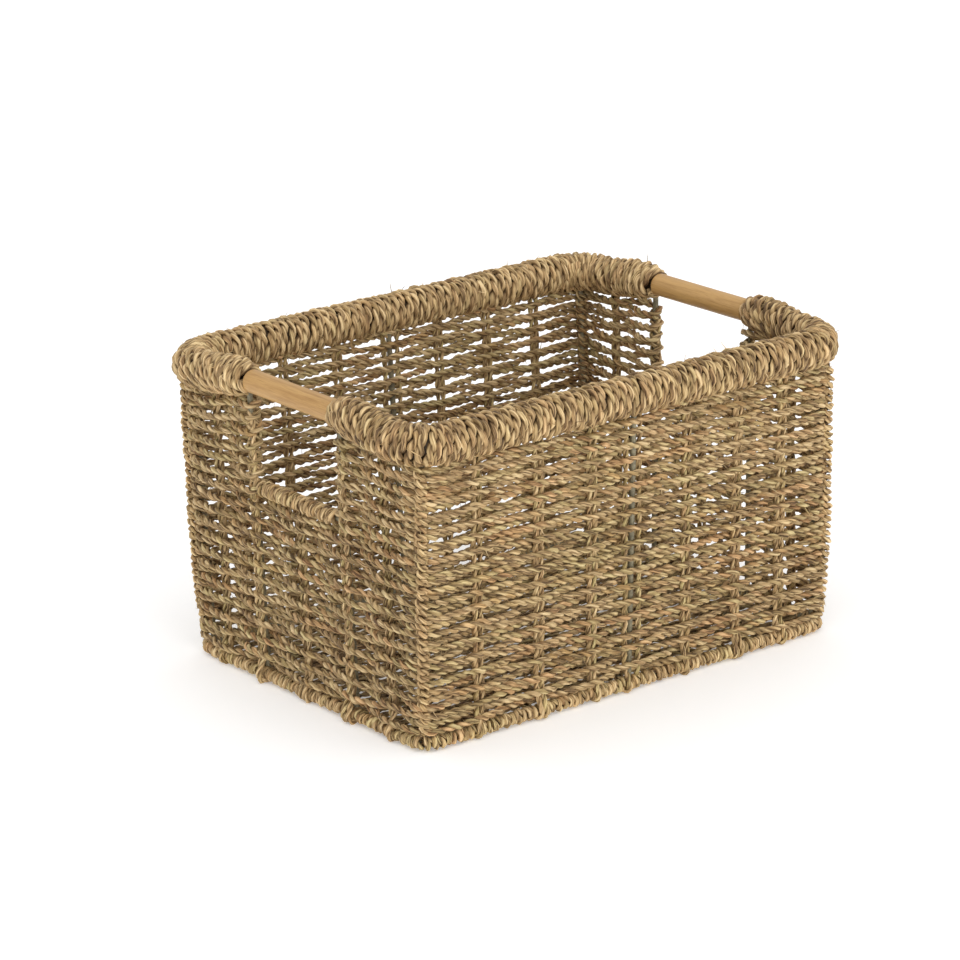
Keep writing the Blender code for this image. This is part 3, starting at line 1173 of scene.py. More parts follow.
class Maker:
    """What every sub-assembly shares: the walls' shape, the cord trees and the finishes."""

    def __init__(self) -> None:
        """Build the trees and the finishes."""
        self.shape = WallShape()
        self.stations = Stations()
        self.trees = CordTrees()
        self.weft = SeagrassFinish("weft_seagrass", gain=1.08, olive=0.46, red=0.52).material()
        self.rim = SeagrassFinish("rim_seagrass", gain=1.30, olive=0.22, red=0.22, contrast=0.50).material()
        self.stake = SeagrassFinish("stake_seagrass", gain=1.26, olive=0.65, red=0.25).material()
        self.edge = SeagrassFinish("edge_seagrass", gain=1.24, olive=0.45, red=0.35).material()
        # Painted shade: the packing's seagrass is about a third as light as the rest, since it shows only
        # in the shade between the rim's wraps.
        self.core = SeagrassFinish("core_seagrass", gain=0.32, olive=0.4, red=0.3).material()
        self.base = SeagrassFinish("base_seagrass", gain=0.95, olive=0.6, red=0.4).material()
        self.wood = WoodFinish("grip_wood").material()
        self.wire = WireFinish("frame_steel").material()

    def twisted(
        self, name: str, lines: Sequence[Line], cord: Cord, seed: int, material: bpy.types.Material
    ) -> bpy.types.Object:
        """A piece of twisted cords along some lines."""
        return finished(guide_object(name, lines), self.trees.twist, cord.inputs(seed, material))

    def wound(
        self,
        name: str,
        guides: Sequence[Line],
        cord: Cord,
        seed: int,
        material: bpy.types.Material,
        winding: Winding,
    ) -> bpy.types.Object:
        """A piece of cord wound round some guide lines, each with its girths and leans."""
        values = {**cord.inputs(seed, material), **winding.inputs()}
        return finished(guide_object(name, guides), self.trees.wind, values)

    @staticmethod
    def dress(piece: bpy.types.Object, body: str, slot: str, replaced: Iterable[str] = ()) -> None:
        """Tie a finished piece to its body, and hide the CAD nodes that it stands for.

        Args:
            piece: the finished piece.
            body: the body that it rides on.
            slot: not used.
            replaced: the CAD nodes.
        """
        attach(piece, body)
        names = list(replaced)
        if names:
            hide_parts(*names)
        log.info("%s: %d faces on %s", piece.name, len(piece.data.polygons), body)


@dataclass
class WovenWalls:
    """The weft rows, in plain weave round the stakes and posts."""

    maker: Maker
    cord: Cord = Cord(
        ply=0.00166, lay=0.00114, twist=0.0160, step=0.0021, sides=9, lump=0.45, wander=0.0010
    )
    lowest: float = 0.0150
    highest: float = 0.2222
    first_pitch: float = 0.0066
    last_pitch: float = 0.0049
    depth: float = 0.0035
    end_depth: float = 1.36
    spacing: float = 0.0034
    wobble: float = 0.0024
    wave_rate: float = 17.0
    bend_rate: float = 60.0
    corner_side: float = 0.80
    crossing: float = 2.1
    end_run: float = 0.02
    post_steps: int = 6

    def __post_init__(self) -> None:
        """Read the height above which the rows turn back at the hand holes."""
        self.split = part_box("weft_lower")[1].z

    def heights(self) -> list[float]:
        """The rows' heights, closer together towards the rim.

        Returns:
            One height for each row.
        """
        rows = round(2 * (self.highest - self.lowest) / (self.first_pitch + self.last_pitch)) + 1
        found, z = [], 0.0
        for row in range(rows):
            found.append(z)
            z += self.first_pitch + (self.last_pitch - self.first_pitch) * row / (rows - 1)
        scale = (self.highest - self.lowest) / found[-1]
        return [self.lowest + scale * z for z in found]

    def offset(self, stops: list[tuple[float, float, float]], place: float) -> float:
        """How far outside the middle line a row lies, from -1 to 1.

        Args:
            stops: (distance, side, reach) of each station the row passes, in order.
            place: distance along the loop.

        Returns:
            The offset.
        """
        for (before, side, reach), (after, next_side, next_reach) in zip(stops, stops[1:]):
            if place <= after:
                free = max(after - before - reach - next_reach, 1e-6)
                part = min(max((place - before - reach) / free, 0.0), 1.0)
                bend = math.cos(math.pi * part)
                bend = math.copysign(abs(bend) ** self.crossing, bend)
                return side + (next_side - side) * (1 - bend) / 2
        return stops[-1][1]

    def stops(self, loop: Loop, row: int, z: float) -> list[tuple[float, float, float]]:
        """(distance, side, reach) of every station round one row.

        Args:
            loop: the walls' middle line at the row's height.
            row: the row's number.
            z: its height.

        Returns:
            One entry for each station, in order.
        """
        half_x, half_y, _ = self.maker.shape.outline(z)
        rim = self.maker.shape.rim
        found = []
        for number, station in enumerate(self.maker.stations.all):
            scale = half_x / rim.x if station.wall in ("front", "back") else 1.0
            place = loop.place_of(station.wall, station.value * scale)
            side = 1.0 if (row + number) % 2 == 0 else -1.0
            if station.wall == "corner":
                side = 1.0 if side > 0 else self.corner_side
            elif station.wall in ("left", "right"):
                side *= self.end_depth
            found.append((place, side, station.reach))
        return found

    def point(self, loop: Loop, place: float, z: float, out: float, row: int) -> Vector:
        """A point of a row, with the small waves that a hand-laid cord has.

        Args:
            loop: the walls' middle line at the row's height.
            place: distance along it.
            z: the row's height.
            out: how far outside the middle line, in metres.
            row: the row's number.

        Returns:
            The point.
        """
        flat, outward = loop.at(place)
        wave = noise.noise(Vector((flat.x * self.wave_rate, flat.y * self.wave_rate, row * 3.7)))
        bend = noise.noise(Vector((flat.x * self.bend_rate, flat.y * self.bend_rate, 50.0 + row * 5.3)))
        flat = flat + outward * (out + 0.5 * self.wobble * bend)
        share = max(z - self.split, 0.0) / (self.highest - self.split)
        on_end = abs(flat.x) > self.maker.shape.base.x - self.end_run
        lift = share * self.maker.shape.rim_rise(flat.y) if on_end else 0.0
        return Vector((flat.x, flat.y, z + lift + self.wobble * wave + 0.3 * self.wobble * bend))

    def ring(self, row: int, z: float) -> Line:
        """A row that runs all round the basket.

        Args:
            row: the row's number.
            z: its height.

        Returns:
            The row's line.
        """
        loop = Loop(*self.maker.shape.outline(z))
        stops = self.stops(loop, row, z)
        first = stops[0]
        stops = [*stops, (first[0] + loop.length, first[1], first[2])]
        count = round(loop.length / self.spacing)
        points = []
        for number in range(count):
            place = loop.length * number / count
            out = self.depth * self.offset(stops, place)
            points.append(self.point(loop, place, z, out, row))
        return Line(points, closed=True)

    def half_row(self, row: int, z: float, half: Half) -> list[Vector]:
        """A row from one handle post to the other, by the front or by the back.

        Args:
            row: the row's number.
            z: its height.
            half: the front or the back half.

        Returns:
            The row's points, in order.
        """
        loop = Loop(*self.maker.shape.outline(z))
        stops = self.stops(loop, row, z)
        picked = stops[1:14] if half is Half.FRONT else stops[15:28]
        post = self.maker.shape.post
        if half is Half.FRONT:
            start, end = post, loop.length / 2 - post
        else:
            start, end = loop.length / 2 + post, loop.length - post
        count = round((end - start) / self.spacing)
        points = []
        for number in range(count + 1):
            place = start + (end - start) * number / count
            out = self.depth * self.offset(picked, place)
            points.append(self.point(loop, place, z, out, row))
        return points

    def turn(self, last: Vector, first: Vector) -> list[Vector]:
        """The half turn round a handle post between two rows.

        Args:
            last: the last point of the lower row.
            first: the first point of the upper row.

        Returns:
            The points between them.
        """
        centre = (last + first) / 2
        radius = abs(last.x - first.x) / 2
        towards_hole = -1.0 if centre.y > 0 else 1.0
        side = 1.0 if last.x > first.x else -1.0
        points = []
        for step in range(1, self.post_steps):
            angle = math.pi * step / self.post_steps
            x = centre.x + side * radius * math.cos(angle)
            y = centre.y + towards_hole * radius * math.sin(angle)
            points.append(Vector((x, y, last.z + (first.z - last.z) * step / self.post_steps)))
        return points

    def serpentine(self, rows: list[tuple[int, float]], half: Half) -> Line:
        """The upper rows of one half, as one cord that turns back at the handle posts.

        Args:
            rows: (number, height) of each row.
            half: the front or the back half.

        Returns:
            The cord's line.
        """
        points: list[Vector] = []
        for number, (row, z) in enumerate(rows):
            stretch = self.half_row(row, z, half)
            if number % 2:
                stretch.reverse()
            if points:
                points += self.turn(points[-1], stretch[0])
            points += stretch
        return Line(points)

    def build(self) -> None:
        """Weave the walls."""
        rows = list(enumerate(self.heights()))
        low = [(row, z) for row, z in rows if z < self.split]
        high = [(row, z) for row, z in rows if z >= self.split]
        share = -(-len(low) // 3)
        for number in range(3):
            part = low[number * share : (number + 1) * share]
            lines = [self.ring(row, z) for row, z in part]
            name = f"weft_rows_{('bottom', 'middle', 'top')[number]}"
            piece = self.maker.twisted(name, lines, self.cord, 11 + number, self.maker.weft)
            self.maker.dress(piece, BODY, "weft_seagrass", ["weft_lower"])
        for half in Half:
            line = self.serpentine(high, half)
            name = "weft_rows_upper_" + half.word
            piece = self.maker.twisted(name, [line], self.cord, 21 + half.value, self.maker.weft)
            self.maker.dress(piece, BODY, "weft_seagrass", ["weft_upper_" + half.word])


@dataclass
class WallStakes:
    """The upright cords that the rows are woven round."""

    maker: Maker
    cord: Cord = Cord(ply=0.00140, lay=0.00094, twist=0.017, step=0.0022, sides=8, lump=0.4, relief=0.0016)
    apart: float = 0.0025
    over_post: float = 0.0022
    bare: float = 0.020
    foot: float = 0.0012
    sway: float = 0.0008
    steps: int = 16

    def stake(self, node: str, along_x: bool, shift: float, seed: int) -> Line:
        """The line of one cord of a stake.

        Args:
            node: the CAD stake.
            along_x: whether the stake's wall runs along X.
            shift: how far the cord stands from the stake's middle, along the wall.
            seed: sets its small waves, and whether its foot shows over the edge.

        Returns:
            The cord's line.
        """
        low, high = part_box(node)
        centre = middle(node)
        shape = self.maker.shape
        beside_post = node.endswith("_post")
        if beside_post:
            high.z = min(high.z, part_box("handle_roll_left")[0].z - self.bare)
        slid = math.copysign(STAKE_SHIFT, centre.y) if node.endswith(("_front", "_back")) else 0.0
        points = []
        for step in range(self.steps + 1):
            z = low.z + (high.z - low.z) * step / self.steps
            half_x, half_y, _ = shape.outline(z)
            if along_x:
                spot = Vector((centre.x * half_x / shape.rim.x + shift, math.copysign(half_y, centre.y), z))
            else:
                out = half_x + (self.over_post if beside_post else 0.0)
                spot = Vector((math.copysign(out, centre.x), centre.y + slid + shift, z))
            place = Vector((seed * 2.3, z * 45.0, shift * 900.0))
            swayed = (noise.noise(place), noise.noise(place + SWAY_APART), 0.0)
            points.append(spot + Vector(swayed) * self.sway)
        return Line([*self.tuck(points[0], along_x, seed), *points[1:]])

    def tuck(self, start: Vector, along_x: bool, seed: int) -> list[Vector]:
        """The foot of a stake: over the outside of the edge on most, and into it on the rest.

        Args:
            start: the lowest point of the cord.
            along_x: whether the stake's wall runs along X.
            seed: sets whether the foot shows.

        Returns:
            The points of the foot.
        """
        if seed % 3 == 1:
            return [start]
        flat = (0.0, math.copysign(1, start.y), 0.0) if along_x else (math.copysign(1, start.x), 0.0, 0.0)
        path = ((-0.002, self.foot), (0.0035, self.foot + 0.0002), (0.0068, 0.0052), (0.0052, 0.0115))
        return [Vector((start.x, start.y, z)) + Vector(flat) * out for out, z in path]

    def lines(self, nodes: Iterable[str], along_x: bool) -> list[Line]:
        """The cords of some stakes: two for a pair, one for a single cord.

        Args:
            nodes: the CAD stakes.
            along_x: whether the stake's wall runs along X.

        Returns:
            One line for each cord.
        """
        found = []
        for node in nodes:
            shifts = (0.0,) if "_middle_" in node else (-self.apart, self.apart)
            if node.endswith("_post"):
                place = middle(node).y
                inward = math.copysign(self.maker.shape.post, place) - place
                shifts = (inward - self.apart, inward + self.apart)
            for shift in shifts:
                found.append(self.stake(node, along_x, shift, len(found)))
        return found

    def wall(self, word: str, nodes: list[str], along_x: bool, seed: int) -> None:
        """Set up the stakes of one wall.

        Args:
            word: the wall's name.
            nodes: its CAD stakes.
            along_x: whether it runs along X.
            seed: the seed of its cords.
        """
        lines = self.lines(nodes, along_x)
        piece = self.maker.twisted("stakes_" + word, lines, self.cord, seed, self.maker.stake)
        self.maker.dress(piece, BODY, "stake_seagrass", nodes)

    def build(self) -> None:
        """Set up the stakes of all four walls."""
        for half in Half:
            nodes = [f"stake_{half.word}_{number}" for number in range(1, 7)]
            nodes += [f"stake_{half.word}_middle_{hand}" for hand in ("left", "right")]
            self.wall(half.word, nodes, True, 31 + half.value)
        for end in End:
            nodes = [f"stake_{end.word}_{half.word}{tail}" for half in Half for tail in ("", "_post")]
            nodes.append(f"stake_{end.word}_middle")
            self.wall(end.word, nodes, False, 41 + end.value)


@dataclass
class WrappedRim:
    """The fat rim: packing round the rim wire, and cord wound round it up to the grips."""

    maker: Maker
    cord: Cord = Cord(
        ply=0.00200,
        lay=0.00150,
        twist=0.0185,
        step=0.0022,
        sides=10,
        lump=0.42,
        wander=0.0013,
        hand=-1.0,
        relief=0.0016,
    )
    pitch: float = 0.0067
    fan: float = 0.75
    end_girth: float = 0.0082
    taper: float = 0.020
    lean: float = 0.0075
    lean_run: float = 0.060
    slant: float = 0.0034
    butt: float = 0.012
    clear: float = 0.0025
    crowd: float = 0.30
    hidden: int = 2
    packing_sides: int = 18
    packing_gap: float = 0.0014
    packing_lump: float = 0.0006

    def guide(self, half: Half) -> Line:
        """The rim's middle line from one grip round to the other, with its girth and lean.

        Args:
            half: the front or the back half.

        Returns:
            The guide line.
        """
        shape = self.maker.shape
        loop = Loop(shape.rim.x, shape.rim.y, shape.rim_corner)
        grip_end = half_size("handle_roll_left").y + self.clear
        start, end = grip_end, loop.length / 2 - grip_end
        if half is Half.BACK:
            start, end = start + loop.length / 2, end + loop.length / 2
        full = shape.rim_radius - self.cord.radius
        count = round((end - start) / 0.003)
        line = Line([])
        turns = 0.0
        heading = loop.at(start)[1]
        for number in range(count + 1):
            place = start + (end - start) * number / count
            flat, outward = loop.at(place)
            bend = heading.angle(outward, 0.0)
            heading = outward
            from_grip = min(place - start, end - place)
            fade = max(1.0 - from_grip / self.lean_run, 0.0)
            crowded = (1.0 + self.crowd * fade) * (end - start) / count
            turns += (crowded + self.fan * shape.rim_radius * bend) / self.pitch
            line.turns.append(turns)
            part = min(from_grip / self.taper, 1.0)
            grown = math.sin(part * math.pi / 2)
            rise = shape.rim_rise(flat.y) if abs(flat.x) > shape.rim.x - 0.001 else 0.0
            near_wire = (1.0 - grown) * (shape.rim_wire_z - shape.rim.z - rise)
            line.points.append(Vector((flat.x, flat.y, shape.rim.z + rise + near_wire)))
            line.girth.append(self.end_girth + (full - self.end_girth) * grown)
            towards = 1.0 if place - start < end - place else -1.0
            straight = min(from_grip / self.butt, 1.0)
            near = straight * towards * self.lean * fade
            line.lean.append(near + half.value * self.slant * (1.0 - fade))
        return line

    def packing(self, half: Half, guide: Line) -> bpy.types.Object:
        """The packing under the wraps, as a lumpy bundle that fills them.

        Args:
            half: the front or the back half.
            guide: the rim's guide line.

        Returns:
            The packing.
        """
        spots = guide.points[self.hidden : -self.hidden]
        inner = [girth - self.packing_gap for girth in guide.girth[self.hidden : -self.hidden]]
        mesh = bpy.data.meshes.new("rim_packing_" + half.word)
        shape = bmesh.new()
        rings = []
        for number, (spot, radius) in enumerate(zip(spots, inner)):
            before = spots[max(number - 1, 0)]
            after = spots[min(number + 1, len(spots) - 1)]
            tangent = (after - before).normalized()
            out = tangent.cross(Vector((0, 0, 1))).normalized()
            up = out.cross(tangent)
            ring = []
            for side in range(self.packing_sides):
                angle = 2 * math.pi * side / self.packing_sides
                way = out * math.cos(angle) + up * math.sin(angle)
                lump = self.packing_lump * noise.noise(spot * 150 + way * 3)
                ring.append(shape.verts.new(spot + way * (radius + lump)))
            rings.append(ring)
        skin(shape, rings)
        shape.faces.new(rings[0])
        shape.faces.new(rings[-1])
        bmesh.ops.recalc_face_normals(shape, faces=shape.faces)
        for face in shape.faces:
            face.smooth = len(face.verts) == 4
        shape.to_mesh(mesh)
        shape.free()
        # The darkened seagrass copy, whose colour holds painted shade.
        mesh.materials.append(self.maker.core)
        return placed(mesh.name, mesh)

    def build(self) -> None:
        """Wind both halves of the rim."""
        winding = Winding(self.pitch, uneven=0.0019, around=20.0)
        for half in Half:
            guide = self.guide(half)
            piece = self.maker.wound(
                "rim_wraps_" + half.word, [guide], self.cord, 51 + half.value, self.maker.rim, winding
            )
            self.maker.dress(piece, BODY, "rim_seagrass", ["rim_wrap_" + half.word])
            packing = self.packing(half, guide)
            self.maker.dress(packing, BODY, "core_seagrass", ["rim_core_" + half.word])


@dataclass
class WrappedEdges:
    """The wound roll along the bottom edge and the wound bar under each hand hole."""

    maker: Maker
    cord: Cord = Cord(
        ply=0.00168,
        lay=0.00112,
        twist=0.0135,
        step=0.0018,
        sides=8,
        lump=0.42,
        wander=0.0010,
        relief=0.0017,
    )
    winding: Winding = Winding(0.0055, uneven=0.0015, hand=-1.0)
    bar_steps: int = 24

    def bottom(self) -> None:
        """Wind the bottom edge."""
        shape = self.maker.shape
        loop = Loop(shape.base.x, shape.base.y, shape.base_corner)
        girth = shape.base.z - self.cord.radius
        count = round(loop.length / 0.003)
        points = []
        for number in range(count):
            flat, _ = loop.at(loop.length * number / count)
            points.append(Vector((flat.x, flat.y, shape.base.z)))
        around = round(loop.length / self.winding.pitch)
        # The winding closes between its last and first point, so its turns never run back to nought.
        points.append(points[0].copy())
        line = even_guide(points, girth, around)
        piece = self.maker.wound(
            "base_edge_winding", [line], self.cord, 61, self.maker.edge, self.winding
        )
        self.maker.dress(piece, BODY, "edge_seagrass", ["base_edge_wrap"])

    def hole_bar(self, end: End) -> None:
        """Wind the bar under one hand hole.

        Args:
            end: which hand hole.
        """
        node = "hand_hole_wrap_" + end.word
        centre, size = middle(node), half_size(node)
        reach = size.y - self.cord.radius
        points = [
            Vector((centre.x, centre.y + reach * (2 * number / self.bar_steps - 1), centre.z))
            for number in range(self.bar_steps + 1)
        ]
        line = even_guide(points, size.z - self.cord.radius, 2 * reach / self.winding.pitch)
        name = "hole_bar_winding_" + end.word
        piece = self.maker.wound(
            name, [line], self.cord, 63 + end.value, self.maker.edge, self.winding
        )
        self.maker.dress(piece, BODY, "edge_seagrass", [node])

    def build(self) -> None:
        """Wind all three."""
        self.bottom()
        for end in End:
            self.hole_bar(end)


@dataclass
class WoundSeams:
    """Upright windings: one over each corner of the walls and one on each side of a hand hole."""

    maker: Maker
    cord: Cord = Cord(
        ply=0.00150, lay=0.00108, twist=0.0150, step=0.0021, sides=8, lump=0.42, wander=0.0009
    )
    winding: Winding = Winding(0.0058, uneven=0.0012, reference=(0.0, 1.0, 0.0))
    corner_steps: int = 50
    hole_steps: int = 24
    girth: float = 0.0027
    proud: float = 0.0058
    inner: float = -0.0020
    low: float = 0.0135
    high: float = 0.2185
    bare: float = 0.0125
    tucked: float = 0.010

    def upright(self, points: list[Vector]) -> Line:
        """A guide for a winding that stands upright."""
        length = sum((after - before).length for before, after in zip(points, points[1:]))
        return even_guide(points, self.girth, length / self.winding.pitch)

    def corner(self, number: int, proud: float) -> Line:
        """The guide over one corner, numbered from front left, at a distance outside the walls' middle.

        Args:
            number: the corner's number.
            proud: the distance outside the walls' middle.

        Returns:
            The guide line.
        """
        shape = self.maker.shape
        points = []
        steps = self.corner_steps
        for step in range(steps + 1):
            z = self.low + (self.high - self.low) * step / steps
            loop = Loop(*shape.outline(z))
            flat, outward = loop.at(loop.place_of("corner", number))
            flat = flat + outward * proud * min(0.25 + step / (0.4 * steps), 1.0)
            points.append(Vector((flat.x, flat.y, z)))
        return self.upright(points)

    def beside_hole(self, end: End, half: Half) -> Line:
        """The guide round one handle post, from the hole's lower corner to its bare top.

        Args:
            end: which hand hole.
            half: which side of it.

        Returns:
            The guide line.
        """
        shape = self.maker.shape
        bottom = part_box("weft_lower")[1].z - self.tucked
        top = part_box("handle_roll_left")[0].z - self.bare
        steps = self.hole_steps
        points = []
        for step in range(steps + 1):
            z = bottom + (top - bottom) * step / steps
            half_x = shape.outline(z)[0]
            points.append(Vector((end.value * half_x, half.value * shape.post, z)))
        return self.upright(points)

    def build(self) -> None:
        """Wind the corners and the sides of the hand holes."""
        maker = self.maker
        outer = [self.corner(number, self.proud) for number in range(4)]
        inner = [self.corner(number, self.inner) for number in range(4)]
        sides = [self.beside_hole(end, half) for end in End for half in Half]
        upper = ["weft_upper_front", "weft_upper_back"]
        plans = (
            ("corner_windings", outer, 81, maker.rim, "rim_seagrass", ["weft_lower"]),
            ("corner_post_windings", inner, 82, maker.weft, "weft_seagrass", ["weft_lower"]),
            ("hole_side_windings", sides, 83, maker.weft, "weft_seagrass", upper),
        )
        for name, lines, seed, material, slot, replaced in plans:
            piece = maker.wound(name, lines, self.cord, seed, material, self.winding)
            maker.dress(piece, BODY, slot, replaced)


@dataclass
class LooseFibres:
    """Frayed ends of seagrass that stand off the cords."""

    maker: Maker
    thickness: float = 0.00042
    length: float = 0.0085
    bend: float = 0.22
    sides: int = 3
    steps: int = 4
    lowest: float = 0.0100

    def blade(self) -> bpy.types.Object:
        """One thin, bent and pointed fibre, standing on the origin along Z.

        Returns:
            The fibre's object.
        """
        mesh = bpy.data.meshes.new("fibre_shape")
        shape = bmesh.new()
        sides = self.sides
        rings = []
        for step in range(self.steps):
            part = step / self.steps
            radius = self.thickness * (1.0 - 0.7 * part)
            centre = Vector((self.bend * self.length * part * part, 0.0, self.length * part))
            ring = []
            for side in range(sides):
                angle = 2 * math.pi * side / sides
                way = Vector((math.cos(angle), math.sin(angle), 0.0))
                ring.append(shape.verts.new(centre + way * radius))
            rings.append(ring)
        tip = shape.verts.new(Vector((self.bend * self.length, 0.0, self.length)))
        skin(shape, rings)
        for side in range(sides):
            shape.faces.new((rings[-1][side], rings[-1][(side + 1) % sides], tip))
        shape.faces.new(rings[0][::-1])
        shape.to_mesh(mesh)
        shape.free()
        return bpy.data.objects.new("fibre_shape", mesh)

    def tree(self, blade: bpy.types.Object) -> bpy.types.NodeTree:
        """A tree that stands copies of the fibre all over a mesh.

        Args:
            blade: the fibre's object.

        Returns:
            The tree.
        """
        tree = bpy.data.node_groups.new("loose_fibres", "GeometryNodeTree")
        add_inputs(
            tree,
            (
                ("Density", "NodeSocketFloat", 1000.0),
                ("Lie", "NodeSocketFloat", 1.0),
                ("Size", "NodeSocketFloat", 1.0),
                ("Seed", "NodeSocketInt", 0),
                ("Material", "NodeSocketMaterial", None),
            ),
        )
        nodes = Nodes(tree)
        given = nodes.add("NodeGroupInput").outputs
        height = nodes.add("ShaderNodeSeparateXYZ", {0: nodes.position()}).outputs[2]
        raised = nodes.add("FunctionNodeCompare", {0: height, 1: self.lowest}, operation="GREATER_THAN")
        spread = nodes.add(
            "GeometryNodeDistributePointsOnFaces",
            {
                "Mesh": given["Geometry"],
                "Selection": raised.outputs[0],
                "Density": given["Density"],
                "Seed": given["Seed"],
            },
        ).outputs
        lean = nodes.add("FunctionNodeRandomValue", {"Seed": given["Seed"]}, data_type="FLOAT_VECTOR")
        lean.inputs[0].default_value = (-1.0, -1.0, -1.0)
        lean.inputs[1].default_value = (1.0, 1.0, 1.0)
        way = nodes.vector("ADD", spread["Normal"], nodes.scaled(lean.outputs[0], given["Lie"]))
        turned = nodes.add("FunctionNodeAlignRotationToVector", {"Vector": way}, axis="Z").outputs[0]
        size = nodes.add("FunctionNodeRandomValue", {"Seed": given["Seed"]}, data_type="FLOAT")
        size.inputs[2].default_value = 0.35
        size.inputs[3].default_value = 1.0
        info = nodes.add("GeometryNodeObjectInfo", {"Object": blade}).outputs["Geometry"]
        copies = nodes.add(
            "GeometryNodeInstanceOnPoints",
            {
                "Points": spread["Points"],
                "Instance": info,
                "Rotation": turned,
                "Scale": nodes.times(size.outputs[1], given["Size"]),
            },
        ).outputs[0]
        real = nodes.add("GeometryNodeRealizeInstances", {0: copies}).outputs[0]
        dressed = nodes.add("GeometryNodeSetMaterial", {0: real, "Material": given["Material"]})
        nodes.add("NodeGroupOutput", {0: dressed.outputs[0]})
        return tree

    def build(self) -> None:
        """Fray the cords of the rim, the walls and the bottom edge."""
        blade = self.blade()
        tree = self.tree(blade)
        rim = ("rim_seagrass", self.maker.rim, 2400.0)
        weft = ("weft_seagrass", self.maker.weft, 1700.0)
        edge = ("edge_seagrass", self.maker.edge, 1700.0)
        plans = (
            ("rim_wraps_front", *rim, "rim_wrap_front"),
            ("rim_wraps_back", *rim, "rim_wrap_back"),
            ("weft_rows_bottom", *weft, "weft_lower"),
            ("weft_rows_middle", *weft, "weft_lower"),
            ("weft_rows_top", *weft, "weft_lower"),
            ("weft_rows_upper_front", *weft, "weft_upper_front"),
            ("weft_rows_upper_back", *weft, "weft_upper_back"),
            ("base_edge_winding", *edge, "base_edge_wrap"),
        )
        for number, (source, slot, material, density, node) in enumerate(plans):
            stem = source.replace("_wraps", "").replace("_rows", "").replace("_winding", "")
            kinds = (("_fibres", density, 1.7, 1.0), ("_blades", 0.09 * density, 3.2, 1.8))
            for tail, amount, lie, size in kinds:
                guide = placed(stem + tail, bpy.data.objects[source].data.copy())
                values = {"Density": amount, "Lie": lie, "Size": size, "Seed": number, "Material": material}
                piece = finished(guide, tree, values)
                if piece.data.polygons:
                    self.maker.dress(piece, BODY, slot, [node])
                else:
                    bpy.data.objects.remove(piece)
        mesh = blade.data
        bpy.data.objects.remove(blade)
        bpy.data.meshes.remove(mesh)


@dataclass
class WovenBase:
    """The woven bottom: rows along X over and under cords that run from front to back."""

    maker: Maker
    rows_cord: Cord = Cord(ply=0.00112, lay=0.00088, twist=0.020, step=0.0032, sides=5)
    cross_cord: Cord = Cord(ply=0.00092, lay=0.00072, twist=0.018, step=0.0034, sides=5)
    pitch: float = 0.0056
    height: float = 0.0050
    depth: float = 0.0026
    margin: float = 0.002
    past: float = 0.005
    apart: float = 0.0019
    cross_steps: int = 30

    def crossings(self) -> list[tuple[float, float]]:
        """(front x, back x) of each cord that runs from front to back.

        Returns:
            The pairs, from left to right.
        """
        stations = self.maker.stations
        front = [station.value for station in stations.front]
        back = sorted(station.value for station in stations.back)
        scale = self.maker.shape.base.x / self.maker.shape.rim.x
        return [(first * scale, second * scale) for first, second in zip(front, back)]

    def build(self) -> None:
        """Weave the bottom."""
        size = half_size("base_weave")
        crossings = self.crossings()
        rows = int(2 * (size.y - self.margin) / self.pitch)
        lines = []
        for row in range(rows + 1):
            y = (row / rows * 2 - 1) * (size.y - self.margin)
            part = (y / size.y + 1) / 2
            stops = sorted(first + (second - first) * part for first, second in crossings)
            stops = [-size.x - 0.03, *stops, size.x + 0.03]
            points = []
            steps = round(2 * size.x / 0.005)
            for step in range(steps + 1):
                x = (step / steps * 2 - 1) * (size.x + self.margin + self.maker.shape.foot_spread)
                number = max(index for index, stop in enumerate(stops) if stop <= x)
                number = min(number, len(stops) - 2)
                share = (x - stops[number]) / (stops[number + 1] - stops[number])
                sign = 1.0 if (row + number) % 2 else -1.0
                wave = 0.0006 * noise.noise(Vector((x * 30, row * 2.1, 7.0)))
                z = self.height + self.depth * sign * math.cos(math.pi * share)
                points.append(Vector((x, y + wave, z)))
            lines.append(Line(points))
        piece = self.maker.twisted("base_rows", lines, self.rows_cord, 71, self.maker.base)
        self.maker.dress(piece, BODY, "base_seagrass", ["base_weave"])
        lines = []
        for first, second in crossings:
            for shift in (-self.apart, self.apart):
                start = Vector((first + shift, -size.y - self.past, self.height))
                end = Vector((second + shift, size.y + self.past, self.height))
                shares = [step / self.cross_steps for step in range(self.cross_steps + 1)]
                lines.append(Line([start.lerp(end, share) for share in shares]))
        piece = self.maker.twisted("base_cross_cords", lines, self.cross_cord, 72, self.maker.stake)
        self.maker.dress(piece, BODY, "base_seagrass", ["base_weave"])


